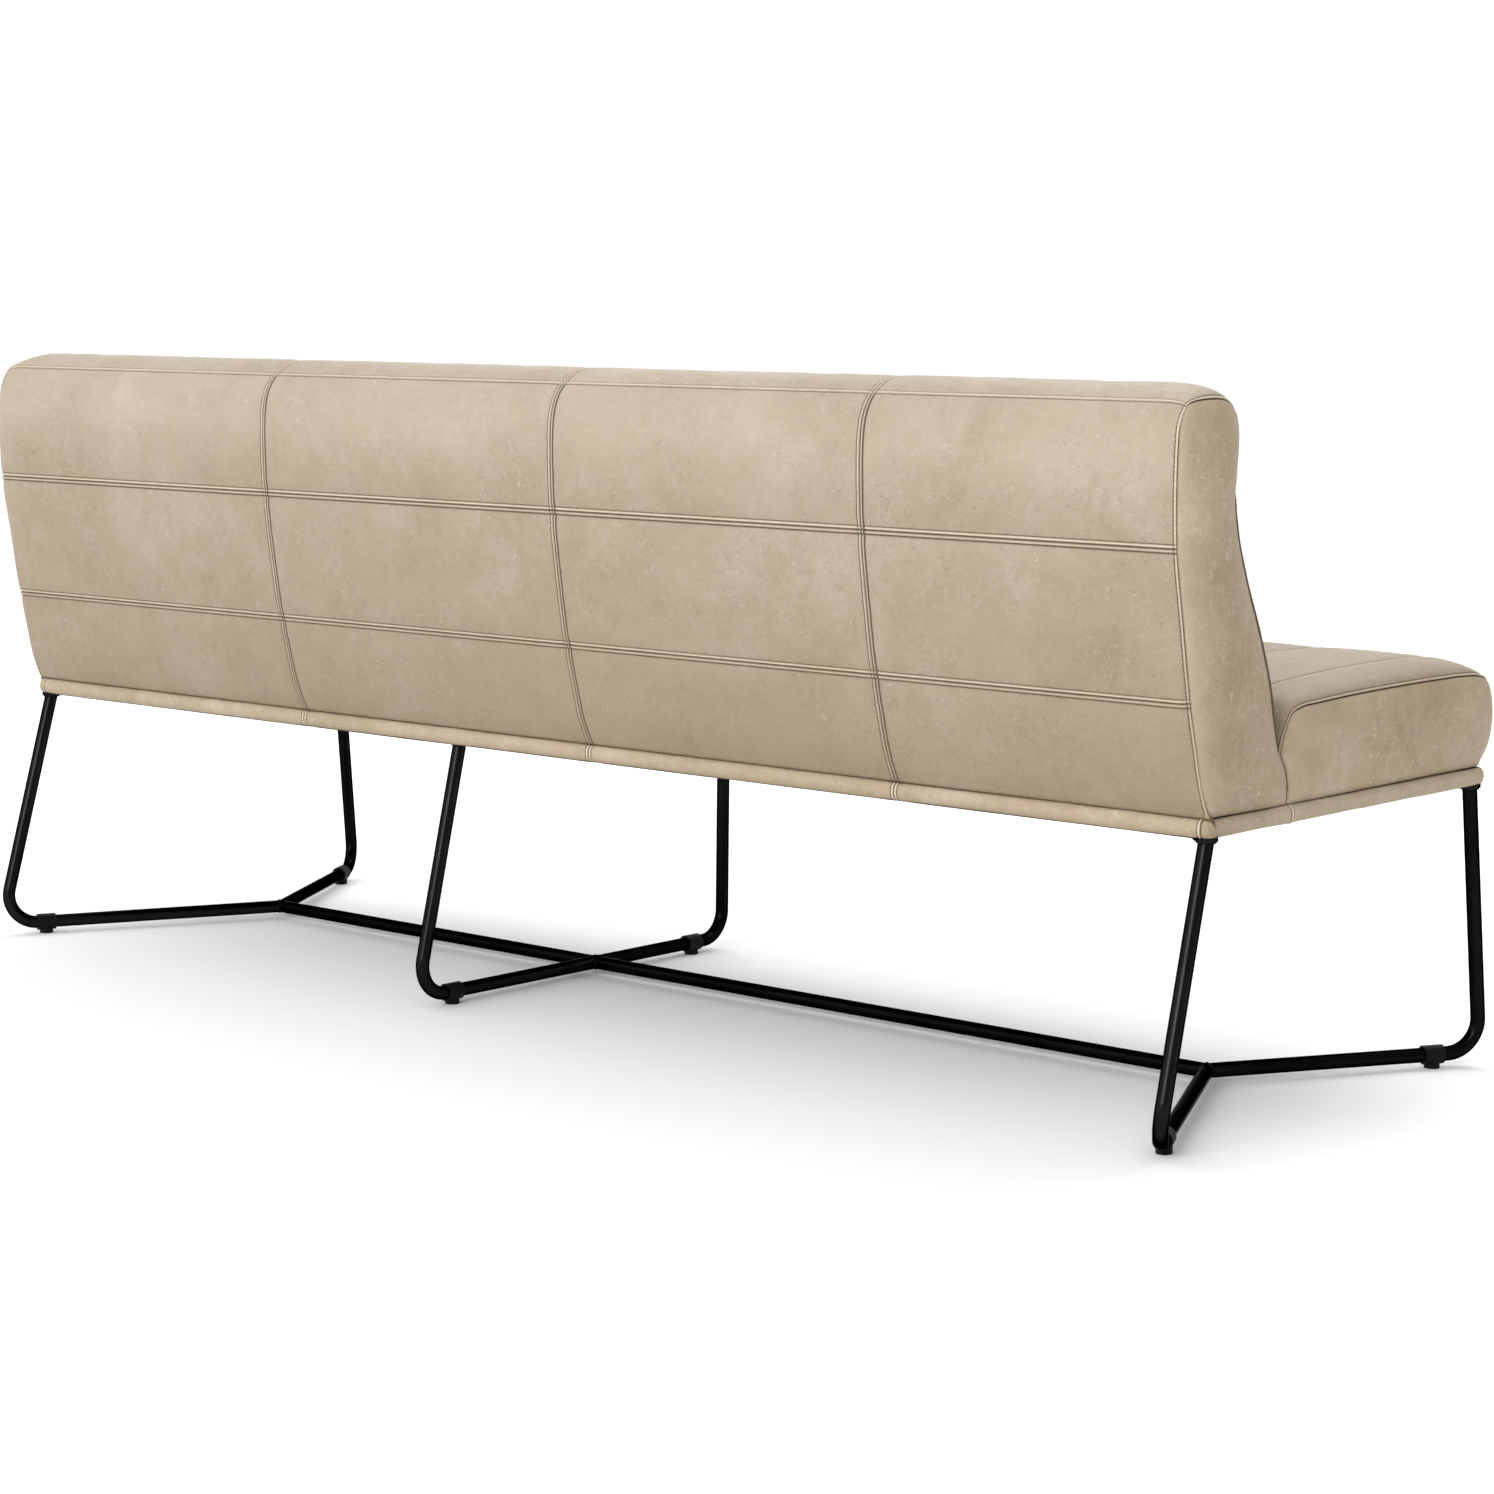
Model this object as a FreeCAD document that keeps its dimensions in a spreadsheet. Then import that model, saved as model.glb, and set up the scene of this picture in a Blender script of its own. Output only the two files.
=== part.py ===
import FreeCAD, Part
import Sketcher
import math
import os

V = FreeCAD.Vector

# Upholstered dining bench, millimetres.
# +Z up, X along the bench, front (sitting side) towards -Y, backrest at +Y.
# Origin: middle of the bench's outline, on the floor.

doc = FreeCAD.newDocument("bench")

# ---------------------------------------------------------------- dimensions
DIMS = [
    # padded base band, all round the seat bottom
    ("band_half", 1020.0), ("band_front", -319.0), ("band_rear", 267.0),
    ("band_low", 347.0), ("band_tall", 20.0), ("band_deep", 12.0),
    ("band_corner", 18.0), ("band_round", 8.0),
    # tube base
    ("tube_rad", 9.0), ("tube_wall", 1.5), ("tube_mid", 16.0), ("bend_rad", 40.0),
    ("foot_half", 1012.0), ("foot_rear", 346.0), ("foot_front", -335.6),
    ("apex_half", 827.0), ("spine_y", -23.0),
    ("leg_half", 1007.0), ("leg_rear", 253.0), ("leg_front", -305.0),
    ("mid_x", 177.0), ("mid_foot_rear", 312.0), ("mid_foot_front", -282.0),
    ("mid_leg_rear", 231.0), ("mid_leg_front", -286.0),
    # glides
    ("glide_from", 51.0), ("glide_long", 26.0), ("glide_rad", 11.6),
    ("glide_foot_rad", 9.5),
    # mounting plates and fasteners
    ("plate_long", 108.0), ("plate_wide", 26.0), ("plate_edge", 13.0),
    ("plate_thick", 4.0), ("plate_corner", 12.5), ("plate_hole_rad", 3.3),
    ("bolt_rad", 3.0), ("bolt_head_rad", 5.6), ("bolt_head_tall", 3.4),
    ("nut_rad", 4.2), ("nut_flange_rad", 9.0), ("nut_flange_thick", 1.5),
    # base board and lining
    ("lining_thick", 1.0), ("board_thick", 16.0),
    # seat frame
    ("rail_thick", 30.0), ("rail_tall", 42.0), ("rail_half", 985.0),
    ("seat_rail_front", -295.0), ("seat_rail_rear", 75.0), ("cross_step", 330.0),
    ("strap_thick", 2.0), ("strap_wide", 60.0), ("strap_step", 180.0),
    # cushions and covers
    ("cover_half", 1012.0), ("hide_thick", 2.0),
    # back frame
    ("post_thick", 18.0), ("post_end", 972.0), ("post_mid", 490.0),
    ("top_rail_y", 268.0), ("top_rail_deep", 30.0), ("top_rail_low", 772.0), ("top_rail_tall", 28.0),
    ("mid_rail_y", 224.0), ("mid_rail_deep", 24.0), ("mid_rail_low", 545.0), ("mid_rail_tall", 40.0),
    ("low_rail_y", 177.0), ("low_rail_deep", 30.0), ("low_rail_tall", 40.0),
    ("panel_thick", 3.0),
]

# side outlines, (y, z): backrest, seat cushion, back post
BACK = [(265, 367), (280, 402), (305, 500), (319, 580), (330, 660), (333, 740), (328, 785),
        (315, 812), (289, 832), (262, 838), (239, 830), (223, 808), (219, 785), (223, 735),
        (225, 711), (217, 675), (199, 630), (167, 556), (149, 505), (138, 459), (123, 424),
        (116, 385), (118, 367)]
SEAT = [(117, 367), (115, 385), (122, 424), (113, 457), (96, 479), (70, 490), (17, 496), (-131, 502), (-220, 503),
        (-270, 501), (-302, 491), (-324, 472), (-335, 450), (-337, 430), (-334, 404), (-326, 387), (-313, 370), (-311, 367)]
POST = [(177, 364), (249, 364), (262, 402), (287, 500), (311, 660), (313, 780), (302, 800),
        (268, 800), (262, 740), (252, 690), (227, 600), (202, 500), (182, 424)]

sheet = doc.addObject("Spreadsheet::Sheet", "Dims")
row = 1


def put(alias, value):
    global row
    sheet.set("A%d" % row, alias)
    sheet.set("B%d" % row, repr(float(value)))
    sheet.setAlias("B%d" % row, alias)
    row += 1


for alias, value in DIMS:
    put(alias, value)
for tag, outline in (("back", BACK), ("seat", SEAT), ("post", POST)):
    for i, (y, z) in enumerate(outline):
        put("%s_pt%02d_y" % (tag, i), y)
        put("%s_pt%02d_z" % (tag, i), z)
doc.recompute()


def d(alias):
    return float(getattr(sheet, alias))


def outline(tag, count):
    return [(d("%s_pt%02d_y" % (tag, i)), d("%s_pt%02d_z" % (tag, i))) for i in range(count)]


NODES = []


def node(obj, label):
    obj.Label = label
    NODES.append(obj)
    return obj


def box(name, x, y, z, length, width, height):
    b = doc.addObject("Part::Box", name)
    for prop, expr in (("Length", length), ("Width", width), ("Height", height),
                       ("Placement.Base.x", x), ("Placement.Base.y", y), ("Placement.Base.z", z)):
        b.setExpression(prop, expr)
    return b


def feature(name, shape):
    f = doc.addObject("Part::Feature", name)
    f.Shape = shape
    f.Placement = FreeCAD.Placement()
    return f


def plane_of(body, role):
    for feat in body.Origin.OriginFeatures:
        if feat.Role == role:
            return feat


def prism(points, x0, x1):
    """Solid of a side outline, from x0 to x1 along the bench."""
    pts = [V(x0, y, z) for y, z in points]
    return Part.Face(Part.makePolygon(pts + [pts[0]])).extrude(V(x1 - x0, 0, 0))


def inset(points, by):
    """The outline moved inwards by a thickness."""
    pts = [V(0, y, z) for y, z in points]
    wire = Part.makePolygon(pts + [pts[0]])
    small = Part.Face(wire).makeOffset2D(-by, join=2)
    return [(v.Point.y, v.Point.z) for v in small.OuterWire.OrderedVertexes]


def single(shape):
    shape = shape.removeSplitter()
    return shape.Solids[0] if len(shape.Solids) == 1 else Part.makeCompound(shape.Solids)


# ---------------------------------------------------------------- tube base
R = d("tube_rad")
RI = R - d("tube_wall")
ZT = d("tube_mid")
PLATE_LOW = d("band_low") - d("plate_thick")


def bent(top, corner, end, rad):
    """Round bar along a leg, one bend and a floor run."""
    v1 = (top - corner).normalize()
    v2 = (end - corner).normalize()
    half = v1.getAngle(v2) / 2.0
    t = d("bend_rad") / math.tan(half)
    bis = (v1 + v2).normalize()
    mid = corner + bis * (d("bend_rad") / math.sin(half) - d("bend_rad"))
    p1, p2 = corner + v1 * t, corner + v2 * t
    path = Part.Wire([Part.LineSegment(top, p1).toShape(), Part.Arc(p1, mid, p2).toShape(),
                      Part.LineSegment(p2, end).toShape()])
    ring = Part.Wire([Part.Circle(top, v1 * -1.0, rad).toShape()])
    return path.makePipeShell([ring], True, False)


def raised(low, corner):
    """Leg top carried on a little past the plate, to be cut flat."""
    way = (low - corner).normalize()
    return low + way * 25.0


above = Part.makeBox(3000, 3000, 400, V(-1500, -1500, PLATE_LOW))
spine_bar = Part.makeCylinder(R, 2 * d("apex_half"), V(-d("apex_half"), d("spine_y"), ZT), V(1, 0, 0))
spine_bore = Part.makeCylinder(RI, 2 * d("apex_half"), V(-d("apex_half"), d("spine_y"), ZT), V(1, 0, 0))

legs = {}
runs = {}
trimmed_outers = []
for side, sx in (("left", -1.0), ("right", 1.0)):
    apex = V(sx * d("apex_half"), d("spine_y"), ZT)
    rear_c = V(sx * d("foot_half"), d("foot_rear"), ZT)
    front_c = V(sx * d("foot_half"), d("foot_front"), ZT)
    rear_t = V(sx * d("leg_half"), d("leg_rear"), PLATE_LOW)
    front_t = V(sx * d("leg_half"), d("leg_front"), PLATE_LOW)
    a = (rear_c - apex).normalize()
    b = (front_c - apex).normalize()
    bis = (a + b).normalize()
    ang = math.degrees(math.atan2(bis.y, bis.x))
    for end, top, corner, away in (("rear", rear_t, rear_c, a), ("front", front_t, front_c, b)):
        past = apex - away * 40.0
        outer = bent(raised(top, corner), corner, past, R)
        bore = bent(raised(top, corner), corner, past, RI)
        # the two floor runs meet on a mitre at the apex
        local = V(-bis.y, bis.x, 0)
        low = -300.0 if local.dot(away) > 0 else 0.0
        cutter = Part.makeBox(600, 300, 600, V(-300, low, -300))
        cutter.Placement = FreeCAD.Placement(apex, FreeCAD.Rotation(V(0, 0, 1), ang))
        outer = outer.cut(above).cut(cutter)
        legs["%s_leg_%s" % (end, side)] = outer.cut(bore)
        runs["%s_%s" % (end, side)] = (corner, apex)
        trimmed_outers.append(outer)

for end, ty, cy, stop in (("rear", "mid_leg_rear", "mid_foot_rear", 0.8), ("front", "mid_leg_front", "mid_foot_front", -0.8)):
    corner = V(d("mid_x"), d(cy), ZT)
    top = V(d("mid_x"), d(ty), PLATE_LOW)
    stop_at = V(d("mid_x"), d("spine_y") + stop, ZT)
    outer = bent(raised(top, corner), corner, stop_at, R).cut(above).cut(spine_bar)
    bore = bent(raised(top, corner), corner, stop_at, RI)
    legs["%s_leg_centre" % end] = outer.cut(bore)
    runs["%s_centre" % end] = (corner, stop_at)

for name in ("rear_leg_left", "rear_leg_centre", "rear_leg_right",
             "front_leg_left", "front_leg_centre", "front_leg_right"):
    node(feature(name, single(legs[name])), name)

spine = spine_bar.cut(spine_bore)
for outer in trimmed_outers:
    spine = spine.cut(outer)
spine = max(spine.Solids, key=lambda s: s.Volume)
node(feature("floor_stretcher", spine), "floor_stretcher")

# ---------------------------------------------------------------- floor glides
sleeve = doc.addObject("Part::Cylinder", "glide_sleeve")
sleeve.setExpression("Radius", "Dims.glide_rad")
sleeve.setExpression("Height", "Dims.glide_long")
sleeve.Placement = FreeCAD.Placement(V(0, 0, 0), FreeCAD.Rotation(V(0, 1, 0), 90))
pad = doc.addObject("Part::Cylinder", "glide_pad")
pad.setExpression("Radius", "Dims.glide_foot_rad")
pad.setExpression("Height", "Dims.tube_mid")
pad.setExpression("Placement.Base.x", "Dims.glide_long / 2")
pad.setExpression("Placement.Base.z", "-Dims.tube_mid")
joined = doc.addObject("Part::Fuse", "glide_solid")
joined.Base, joined.Tool = sleeve, pad
seat_bar = doc.addObject("Part::Cylinder", "glide_seat")
seat_bar.setExpression("Radius", "Dims.tube_rad")
seat_bar.setExpression("Height", "Dims.glide_long + 20")
seat_bar.Placement = FreeCAD.Placement(V(-10, 0, 0), FreeCAD.Rotation(V(0, 1, 0), 90))
glide = doc.addObject("Part::Cut", "glide_one")
glide.Base, glide.Tool = joined, seat_bar
doc.recompute()
copies = []
for key in ("rear_left", "rear_centre", "rear_right", "front_left", "front_centre", "front_right"):
    corner, apex = runs[key]
    way = (apex - corner).normalize()
    one = glide.Shape.copy()
    one.Placement = FreeCAD.Placement(corner + way * d("glide_from"),
                                      FreeCAD.Rotation(V(0, 0, 1), math.degrees(math.atan2(way.y, way.x))))
    copies.append(one)
node(feature("floor_glides", Part.makeCompound(copies)), "floor_glides")

# ---------------------------------------------------------------- mounting plates
# One plate: a round-ended bar. The leg stands at the plate's own origin, the screw holes lie inwards of it.
HOLES = [(-42.0, 0.0), (-62.0, 0.0), (-82.0, 0.0)]
SLANT = math.sqrt(0.5)
body = doc.addObject("PartDesign::Body", "plate_master")
sk = body.newObject("Sketcher::SketchObject", "plate_outline")
sk.AttachmentSupport = [(plane_of(body, "XY_Plane"), "")]
sk.MapMode = "FlatFace"
corners = [V(-95, -13, 0), V(13, -13, 0), V(13, 13, 0), V(-95, 13, 0)]
for i in range(4):
    sk.addGeometry(Part.LineSegment(corners[i], corners[(i + 1) % 4]), False)
for i in range(4):
    sk.addConstraint(Sketcher.Constraint("Coincident", i, 2, (i + 1) % 4, 1))
for i, kind in enumerate(("Horizontal", "Vertical", "Horizontal", "Vertical")):
    sk.addConstraint(Sketcher.Constraint(kind, i))
for kind, first, pos, expr in (("DistanceX", 0, 1, "Dims.plate_long - Dims.plate_edge"),
                               ("DistanceY", 0, 1, "Dims.plate_wide - Dims.plate_edge")):
    c = sk.addConstraint(Sketcher.Constraint(kind, first, pos, -1, 1, 50.0))
    sk.setExpression("Constraints[%d]" % c, expr)
for kind, expr in (("DistanceX", "Dims.plate_edge"), ("DistanceY", "Dims.plate_edge")):
    c = sk.addConstraint(Sketcher.Constraint(kind, -1, 1, 2, 1, 13.0))
    sk.setExpression("Constraints[%d]" % c, expr)
slab = body.newObject("PartDesign::Pad", "plate_slab")
slab.Profile = sk
slab.setExpression("Length", "Dims.plate_thick")
doc.recompute()
hk = body.newObject("Sketcher::SketchObject", "plate_holes")
hk.AttachmentSupport = [(plane_of(body, "XY_Plane"), "")]
hk.MapMode = "FlatFace"
for i, (hx, hy) in enumerate(HOLES):
    hk.addGeometry(Part.Circle(V(hx, hy, 0), V(0, 0, 1), 3.3), False)
    c = hk.addConstraint(Sketcher.Constraint("Radius", i, 3.3))
    hk.setExpression("Constraints[%d]" % c, "Dims.plate_hole_rad")
drilled = body.newObject("PartDesign::Pocket", "plate_drilled")
drilled.Profile = hk
drilled.Type = "ThroughAll"
drilled.Midplane = True
doc.recompute()
upright = [e for e in drilled.Shape.Edges if isinstance(e.Curve, Part.Line)
           and abs(e.Vertexes[0].Point.z - e.Vertexes[1].Point.z) > 1]
names = ["Edge%d" % (i + 1) for i, e in enumerate(drilled.Shape.Edges)
         if any(e.isSame(u) for u in upright)]
soft = body.newObject("PartDesign::Fillet", "plate_corners")
soft.Base = (drilled, names)
soft.setExpression("Radius", "Dims.plate_corner")
doc.recompute()

stations = []
for side, sx in (("left", -1), ("right", 1)):
    stations.append((sx * d("leg_half"), d("leg_rear"), sx, 1))
    stations.append((sx * d("leg_half"), d("leg_front"), sx, -1))
stations.append((d("mid_x"), d("mid_leg_rear"), 1, 1))
stations.append((d("mid_x"), d("mid_leg_front"), 1, -1))

plates, bolt_at = [], []
for px, py, sx, sy in stations:
    one = body.Shape.copy()
    one.Placement = FreeCAD.Placement()
    one.rotate(V(0, 0, 0), V(0, 0, 1), 45)
    if sx < 0:
        one = one.mirror(V(0, 0, 0), V(1, 0, 0))
    if sy < 0:
        one = one.mirror(V(0, 0, 0), V(0, 1, 0))
    one.translate(V(px, py, PLATE_LOW))
    plates.append(one.Solids[0])
    for hx, hy in HOLES:
        bolt_at.append((px + sx * hx * SLANT, py + sy * hx * SLANT))
node(feature("leg_top_plates", Part.makeCompound(plates)), "leg_top_plates")

LINING_LOW = d("band_low")
BOARD_LOW = LINING_LOW + d("lining_thick")
BOARD_TOP = BOARD_LOW + d("board_thick")
bolts, nuts, bores = [], [], []
for bx, by in bolt_at:
    head = Part.makeCylinder(d("bolt_head_rad"), d("bolt_head_tall"), V(bx, by, PLATE_LOW - d("bolt_head_tall")))
    head = head.makeFillet(1.4, [e for e in head.Edges if abs(e.BoundBox.ZMax - (PLATE_LOW - d("bolt_head_tall"))) < 0.01
                                 and len(e.Vertexes) == 1])
    socket = Part.makeCylinder(1.9, 2.0, V(bx, by, PLATE_LOW - d("bolt_head_tall")))
    shank = Part.makeCylinder(d("bolt_rad"), BOARD_TOP - 1.0 - PLATE_LOW, V(bx, by, PLATE_LOW))
    bolts.append(single(head.cut(socket).fuse(shank)))
    barrel = Part.makeCylinder(d("nut_rad"), 11.0, V(bx, by, BOARD_TOP - 11.0))
    flange = Part.makeCylinder(d("nut_flange_rad"), d("nut_flange_thick"), V(bx, by, BOARD_TOP - d("nut_flange_thick")))
    thread = Part.makeCylinder(d("bolt_rad"), 40.0, V(bx, by, BOARD_TOP - 30.0))
    nuts.append(single(barrel.fuse(flange).cut(thread)))
    bores.append((bx, by))
node(feature("plate_bolts", Part.makeCompound(bolts)), "plate_bolts")
node(feature("tee_nuts", Part.makeCompound(nuts)), "tee_nuts")

# ---------------------------------------------------------------- base board, lining, band
slab = box("board_blank", "-(Dims.band_half - Dims.band_deep)", "Dims.band_front + Dims.band_deep",
           "Dims.band_low + Dims.lining_thick", "2 * (Dims.band_half - Dims.band_deep)",
           "Dims.band_rear - Dims.band_front - 2 * Dims.band_deep", "Dims.board_thick")
holes = feature("board_holes", Part.makeCompound(
    [Part.makeCylinder(d("nut_rad"), d("board_thick") + 4, V(x, y, BOARD_LOW - 2)) for x, y in bores]))
sinks = feature("board_sinks", Part.makeCompound(
    [Part.makeCylinder(d("nut_flange_rad"), d("nut_flange_thick") + 2, V(x, y, BOARD_TOP - d("nut_flange_thick"))) for x, y in bores]))
drilled_board = doc.addObject("Part::Cut", "board_drilled")
drilled_board.Base, drilled_board.Tool = slab, holes
board = doc.addObject("Part::Cut", "board_finished")
board.Base, board.Tool = drilled_board, sinks
node(board, "base_board")

cloth = box("lining_blank", "-(Dims.band_half - Dims.band_deep)", "Dims.band_front + Dims.band_deep",
            "Dims.band_low", "2 * (Dims.band_half - Dims.band_deep)",
            "Dims.band_rear - Dims.band_front - 2 * Dims.band_deep", "Dims.lining_thick")
slits = feature("lining_holes", Part.makeCompound(
    [Part.makeCylinder(d("plate_hole_rad"), 8, V(x, y, LINING_LOW - 4)) for x, y in bores]))
lining = doc.addObject("Part::Cut", "lining_pierced")
lining.Base, lining.Tool = cloth, slits
node(lining, "underside_lining")

strip = box("band_blank", "-Dims.band_half", "Dims.band_front", "Dims.band_low", "2 * Dims.band_half",
            "Dims.band_rear - Dims.band_front", "Dims.band_tall")
doc.recompute()
edges = []
for i, e in enumerate(strip.Shape.Edges):
    bb = e.BoundBox
    if bb.ZLength > 1:
        edges.append((i + 1, d("band_corner"), d("band_corner")))
cornered = doc.addObject("Part::Fillet", "band_cornered")
cornered.Base = strip
cornered.Edges = edges
doc.recompute()
edges = [(i + 1, d("band_round"), d("band_round")) for i, e in enumerate(cornered.Shape.Edges) if e.BoundBox.ZLength < 0.1]
rolled = doc.addObject("Part::Fillet", "band_rolled")
rolled.Base = cornered
rolled.Edges = edges
core = box("band_core", "-(Dims.band_half - Dims.band_deep)", "Dims.band_front + Dims.band_deep",
           "Dims.band_low - 10", "2 * (Dims.band_half - Dims.band_deep)",
           "Dims.band_rear - Dims.band_front - 2 * Dims.band_deep", "Dims.band_tall + 20")
ring = doc.addObject("Part::Cut", "band_ring")
ring.Base, ring.Tool = rolled, core
node(ring, "base_band")

# ---------------------------------------------------------------- seat frame
TOP = "Dims.band_low + Dims.lining_thick + Dims.board_thick"
node(box("rail_front", "-Dims.rail_half", "Dims.seat_rail_front", TOP, "2 * Dims.rail_half",
         "Dims.rail_thick", "Dims.rail_tall"), "seat_front_rail")
node(box("rail_rear", "-Dims.rail_half", "Dims.seat_rail_rear", TOP, "2 * Dims.rail_half",
         "Dims.rail_thick", "Dims.rail_tall"), "seat_rear_rail")
between = "Dims.seat_rail_rear - Dims.seat_rail_front - Dims.rail_thick"
node(box("rail_left", "-Dims.rail_half", "Dims.seat_rail_front + Dims.rail_thick", TOP, "Dims.rail_thick",
         between, "Dims.rail_tall"), "seat_side_rail_left")
node(box("rail_right", "Dims.rail_half - Dims.rail_thick", "Dims.seat_rail_front + Dims.rail_thick", TOP,
         "Dims.rail_thick", between, "Dims.rail_tall"), "seat_side_rail_right")
crosses = [box("rail_cross_%d" % i, "%d * Dims.cross_step - Dims.rail_thick / 2" % k,
               "Dims.seat_rail_front + Dims.rail_thick", TOP, "Dims.rail_thick", between, "Dims.rail_tall")
           for i, k in enumerate((-2, -1, 0, 1, 2))]
group = doc.addObject("Part::Compound", "cross_group")
group.Links = crosses
node(group, "seat_cross_rails")
straps = [box("strap_%d" % i, "%d * Dims.strap_step - Dims.strap_wide / 2" % k, "Dims.seat_rail_front",
              TOP + " + Dims.rail_tall", "Dims.strap_wide",
              "Dims.seat_rail_rear + Dims.rail_thick - Dims.seat_rail_front", "Dims.strap_thick")
          for i, k in enumerate(range(-5, 6))]
group = doc.addObject("Part::Compound", "strap_group")
group.Links = straps
node(group, "seat_webbing")

# ---------------------------------------------------------------- seat cushion and cover
H = d("cover_half")
T = d("hide_thick")
seat_out = outline("seat", len(SEAT))
seat_in = inset(seat_out, T)
FOAM_LOW = BOARD_TOP + d("rail_tall") + d("strap_thick")
below = Part.makeBox(3000, 1200, FOAM_LOW, V(-1500, -600, 0))
inner = prism(seat_in, -H + T, H - T)
node(feature("seat_foam", single(inner.cut(below))), "seat_foam")
rails_block = Part.makeBox(2 * d("rail_half"), d("seat_rail_rear") + d("rail_thick") - d("seat_rail_front") + 200,
                           FOAM_LOW, V(-d("rail_half"), d("seat_rail_front"), 0))
border = inner.common(below).cut(rails_block)
node(feature("seat_border_foam", single(border)), "seat_border_foam")
wall = prism(seat_out, -H + T, H - T).cut(prism(seat_in, -H, H))
keep = Part.makeBox(3000, 460, 400, V(-1500, -360, d("band_low") + d("band_tall") + T)).cut(
    Part.makeBox(3000, 200, 90, V(-1500, 80, 367)))
node(feature("seat_cover", single(wall.common(keep))), "seat_cover")
node(feature("seat_side_panel_left", prism(seat_out, -H, -H + T)), "seat_side_panel_left")
node(feature("seat_side_panel_right", prism(seat_out, H - T, H)), "seat_side_panel_right")

# ---------------------------------------------------------------- back frame
post_pts = outline("post", len(POST))
top_rail = box("rail_top", "-Dims.rail_half - 5", "Dims.top_rail_y", "Dims.top_rail_low",
               "2 * Dims.rail_half + 10", "Dims.top_rail_deep", "Dims.top_rail_tall")
mid_rail = box("rail_mid", "-Dims.rail_half - 5", "Dims.mid_rail_y", "Dims.mid_rail_low",
               "2 * Dims.rail_half + 10", "Dims.mid_rail_deep", "Dims.mid_rail_tall")
low_rail = box("rail_low", "-Dims.rail_half - 5", "Dims.low_rail_y", TOP, "2 * Dims.rail_half + 10",
               "Dims.low_rail_deep", "Dims.low_rail_tall")
node(top_rail, "back_top_rail")
node(mid_rail, "back_middle_rail")
node(low_rail, "back_bottom_rail")
doc.recompute()

for label, x_expr in (("back_post_left", "-Dims.post_end - Dims.post_thick"),
                      ("back_post_inner_left", "-Dims.post_mid - Dims.post_thick / 2"),
                      ("back_post_centre", "-Dims.post_thick / 2"),
                      ("back_post_inner_right", "Dims.post_mid - Dims.post_thick / 2"),
                      ("back_post_right", "Dims.post_end")):
    b = doc.addObject("PartDesign::Body", label + "_body")
    sk = b.newObject("Sketcher::SketchObject", label + "_outline")
    sk.AttachmentSupport = [(plane_of(b, "YZ_Plane"), "")]
    sk.MapMode = "FlatFace"
    n = len(post_pts)
    for i in range(n):
        p, q = post_pts[i], post_pts[(i + 1) % n]
        sk.addGeometry(Part.LineSegment(V(p[0], p[1], 0), V(q[0], q[1], 0)), False)
    for i in range(n):
        sk.addConstraint(Sketcher.Constraint("Coincident", i, 2, (i + 1) % n, 1))
    for i in range(n):
        c = sk.addConstraint(Sketcher.Constraint("DistanceX", -1, 1, i, 1, post_pts[i][0]))
        sk.setExpression("Constraints[%d]" % c, "Dims.post_pt%02d_y" % i)
        c = sk.addConstraint(Sketcher.Constraint("DistanceY", -1, 1, i, 1, post_pts[i][1]))
        sk.setExpression("Constraints[%d]" % c, "Dims.post_pt%02d_z" % i)
    p = b.newObject("PartDesign::Pad", label + "_pad")
    p.Profile = sk
    p.setExpression("Length", "Dims.post_thick")
    b.setExpression("Placement.Base.x", x_expr)
    doc.recompute()
    # housings for the three rails
    base = b
    for k, rail in enumerate((top_rail, mid_rail, low_rail)):
        cut = doc.addObject("Part::Cut", "%s_housing_%d" % (label, k))
        cut.Base, cut.Tool = base, rail
        base = cut
    node(base, label)

rear_edge = post_pts[1:7]
front_edge = [post_pts[0]] + post_pts[:6:-1]
P = d("panel_thick")
sheet_pts = [(y + 0.2, z) for y, z in rear_edge] + [(y + 0.2 + P, z) for y, z in reversed(rear_edge)]
node(feature("back_rear_panel", prism(sheet_pts, -d("rail_half") - 5, d("rail_half") + 5)), "back_rear_panel")


def front_at(z):
    for (y0, z0), (y1, z1) in zip(front_edge, front_edge[1:]):
        if min(z0, z1) <= z <= max(z0, z1) and z1 != z0:
            return y0 + (y1 - y0) * (z - z0) / (z1 - z0)
    return front_edge[0][0]


S = d("strap_thick")
tapes = []
for z0 in (432.0, 508.0, 610.0, 694.0):
    z1 = z0 + 44.0
    stops = [z0] + sorted(z for y, z in front_edge if z0 < z < z1) + [z1]
    line = [(front_at(z), z) for z in stops]
    tape = [(y - 0.2, z) for y, z in line] + [(y - 0.2 - S, z) for y, z in reversed(line)]
    tapes.append(prism(tape, -d("rail_half"), d("rail_half")))
node(feature("back_webbing", Part.makeCompound(tapes)), "back_webbing")

# ---------------------------------------------------------------- back cushion and cover
back_out = outline("back", len(BACK))
back_in = inset(back_out, T)
inner = prism(back_in, -H + T, H - T)
hollow = ([(y - 0.2 - S - 0.3, z if i else z - 8) for i, (y, z) in enumerate(front_edge)]
          + [(y + 0.2 + P + 0.2, z if i < len(rear_edge) - 1 else z) for i, (y, z) in
             reversed(list(enumerate(rear_edge)))])
hollow = [(y, z + 0.3 if z >= d("post_pt06_z") - 0.01 else z) for y, z in hollow]
hollow[-1] = (hollow[-1][0], hollow[-1][1] - 8)
void = prism(hollow, -d("rail_half") - 5.3, d("rail_half") + 5.3)
edge = [(y + 0.2 + P + 0.2, z) for y, z in rear_edge]
rear_zone = [(edge[0][0], 340.0)] + edge + [(edge[-1][0] + 12, 814.0), (420.0, 830.0), (420.0, 340.0)]
zone = prism(rear_zone, -1500, 1500)
node(feature("back_rear_foam", single(inner.common(zone).cut(void))), "back_rear_foam")
node(feature("back_front_foam", single(inner.cut(zone).cut(void))), "back_front_foam")
wall = prism(back_out, -H + T, H - T).cut(prism(back_in, -H, H))
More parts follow.
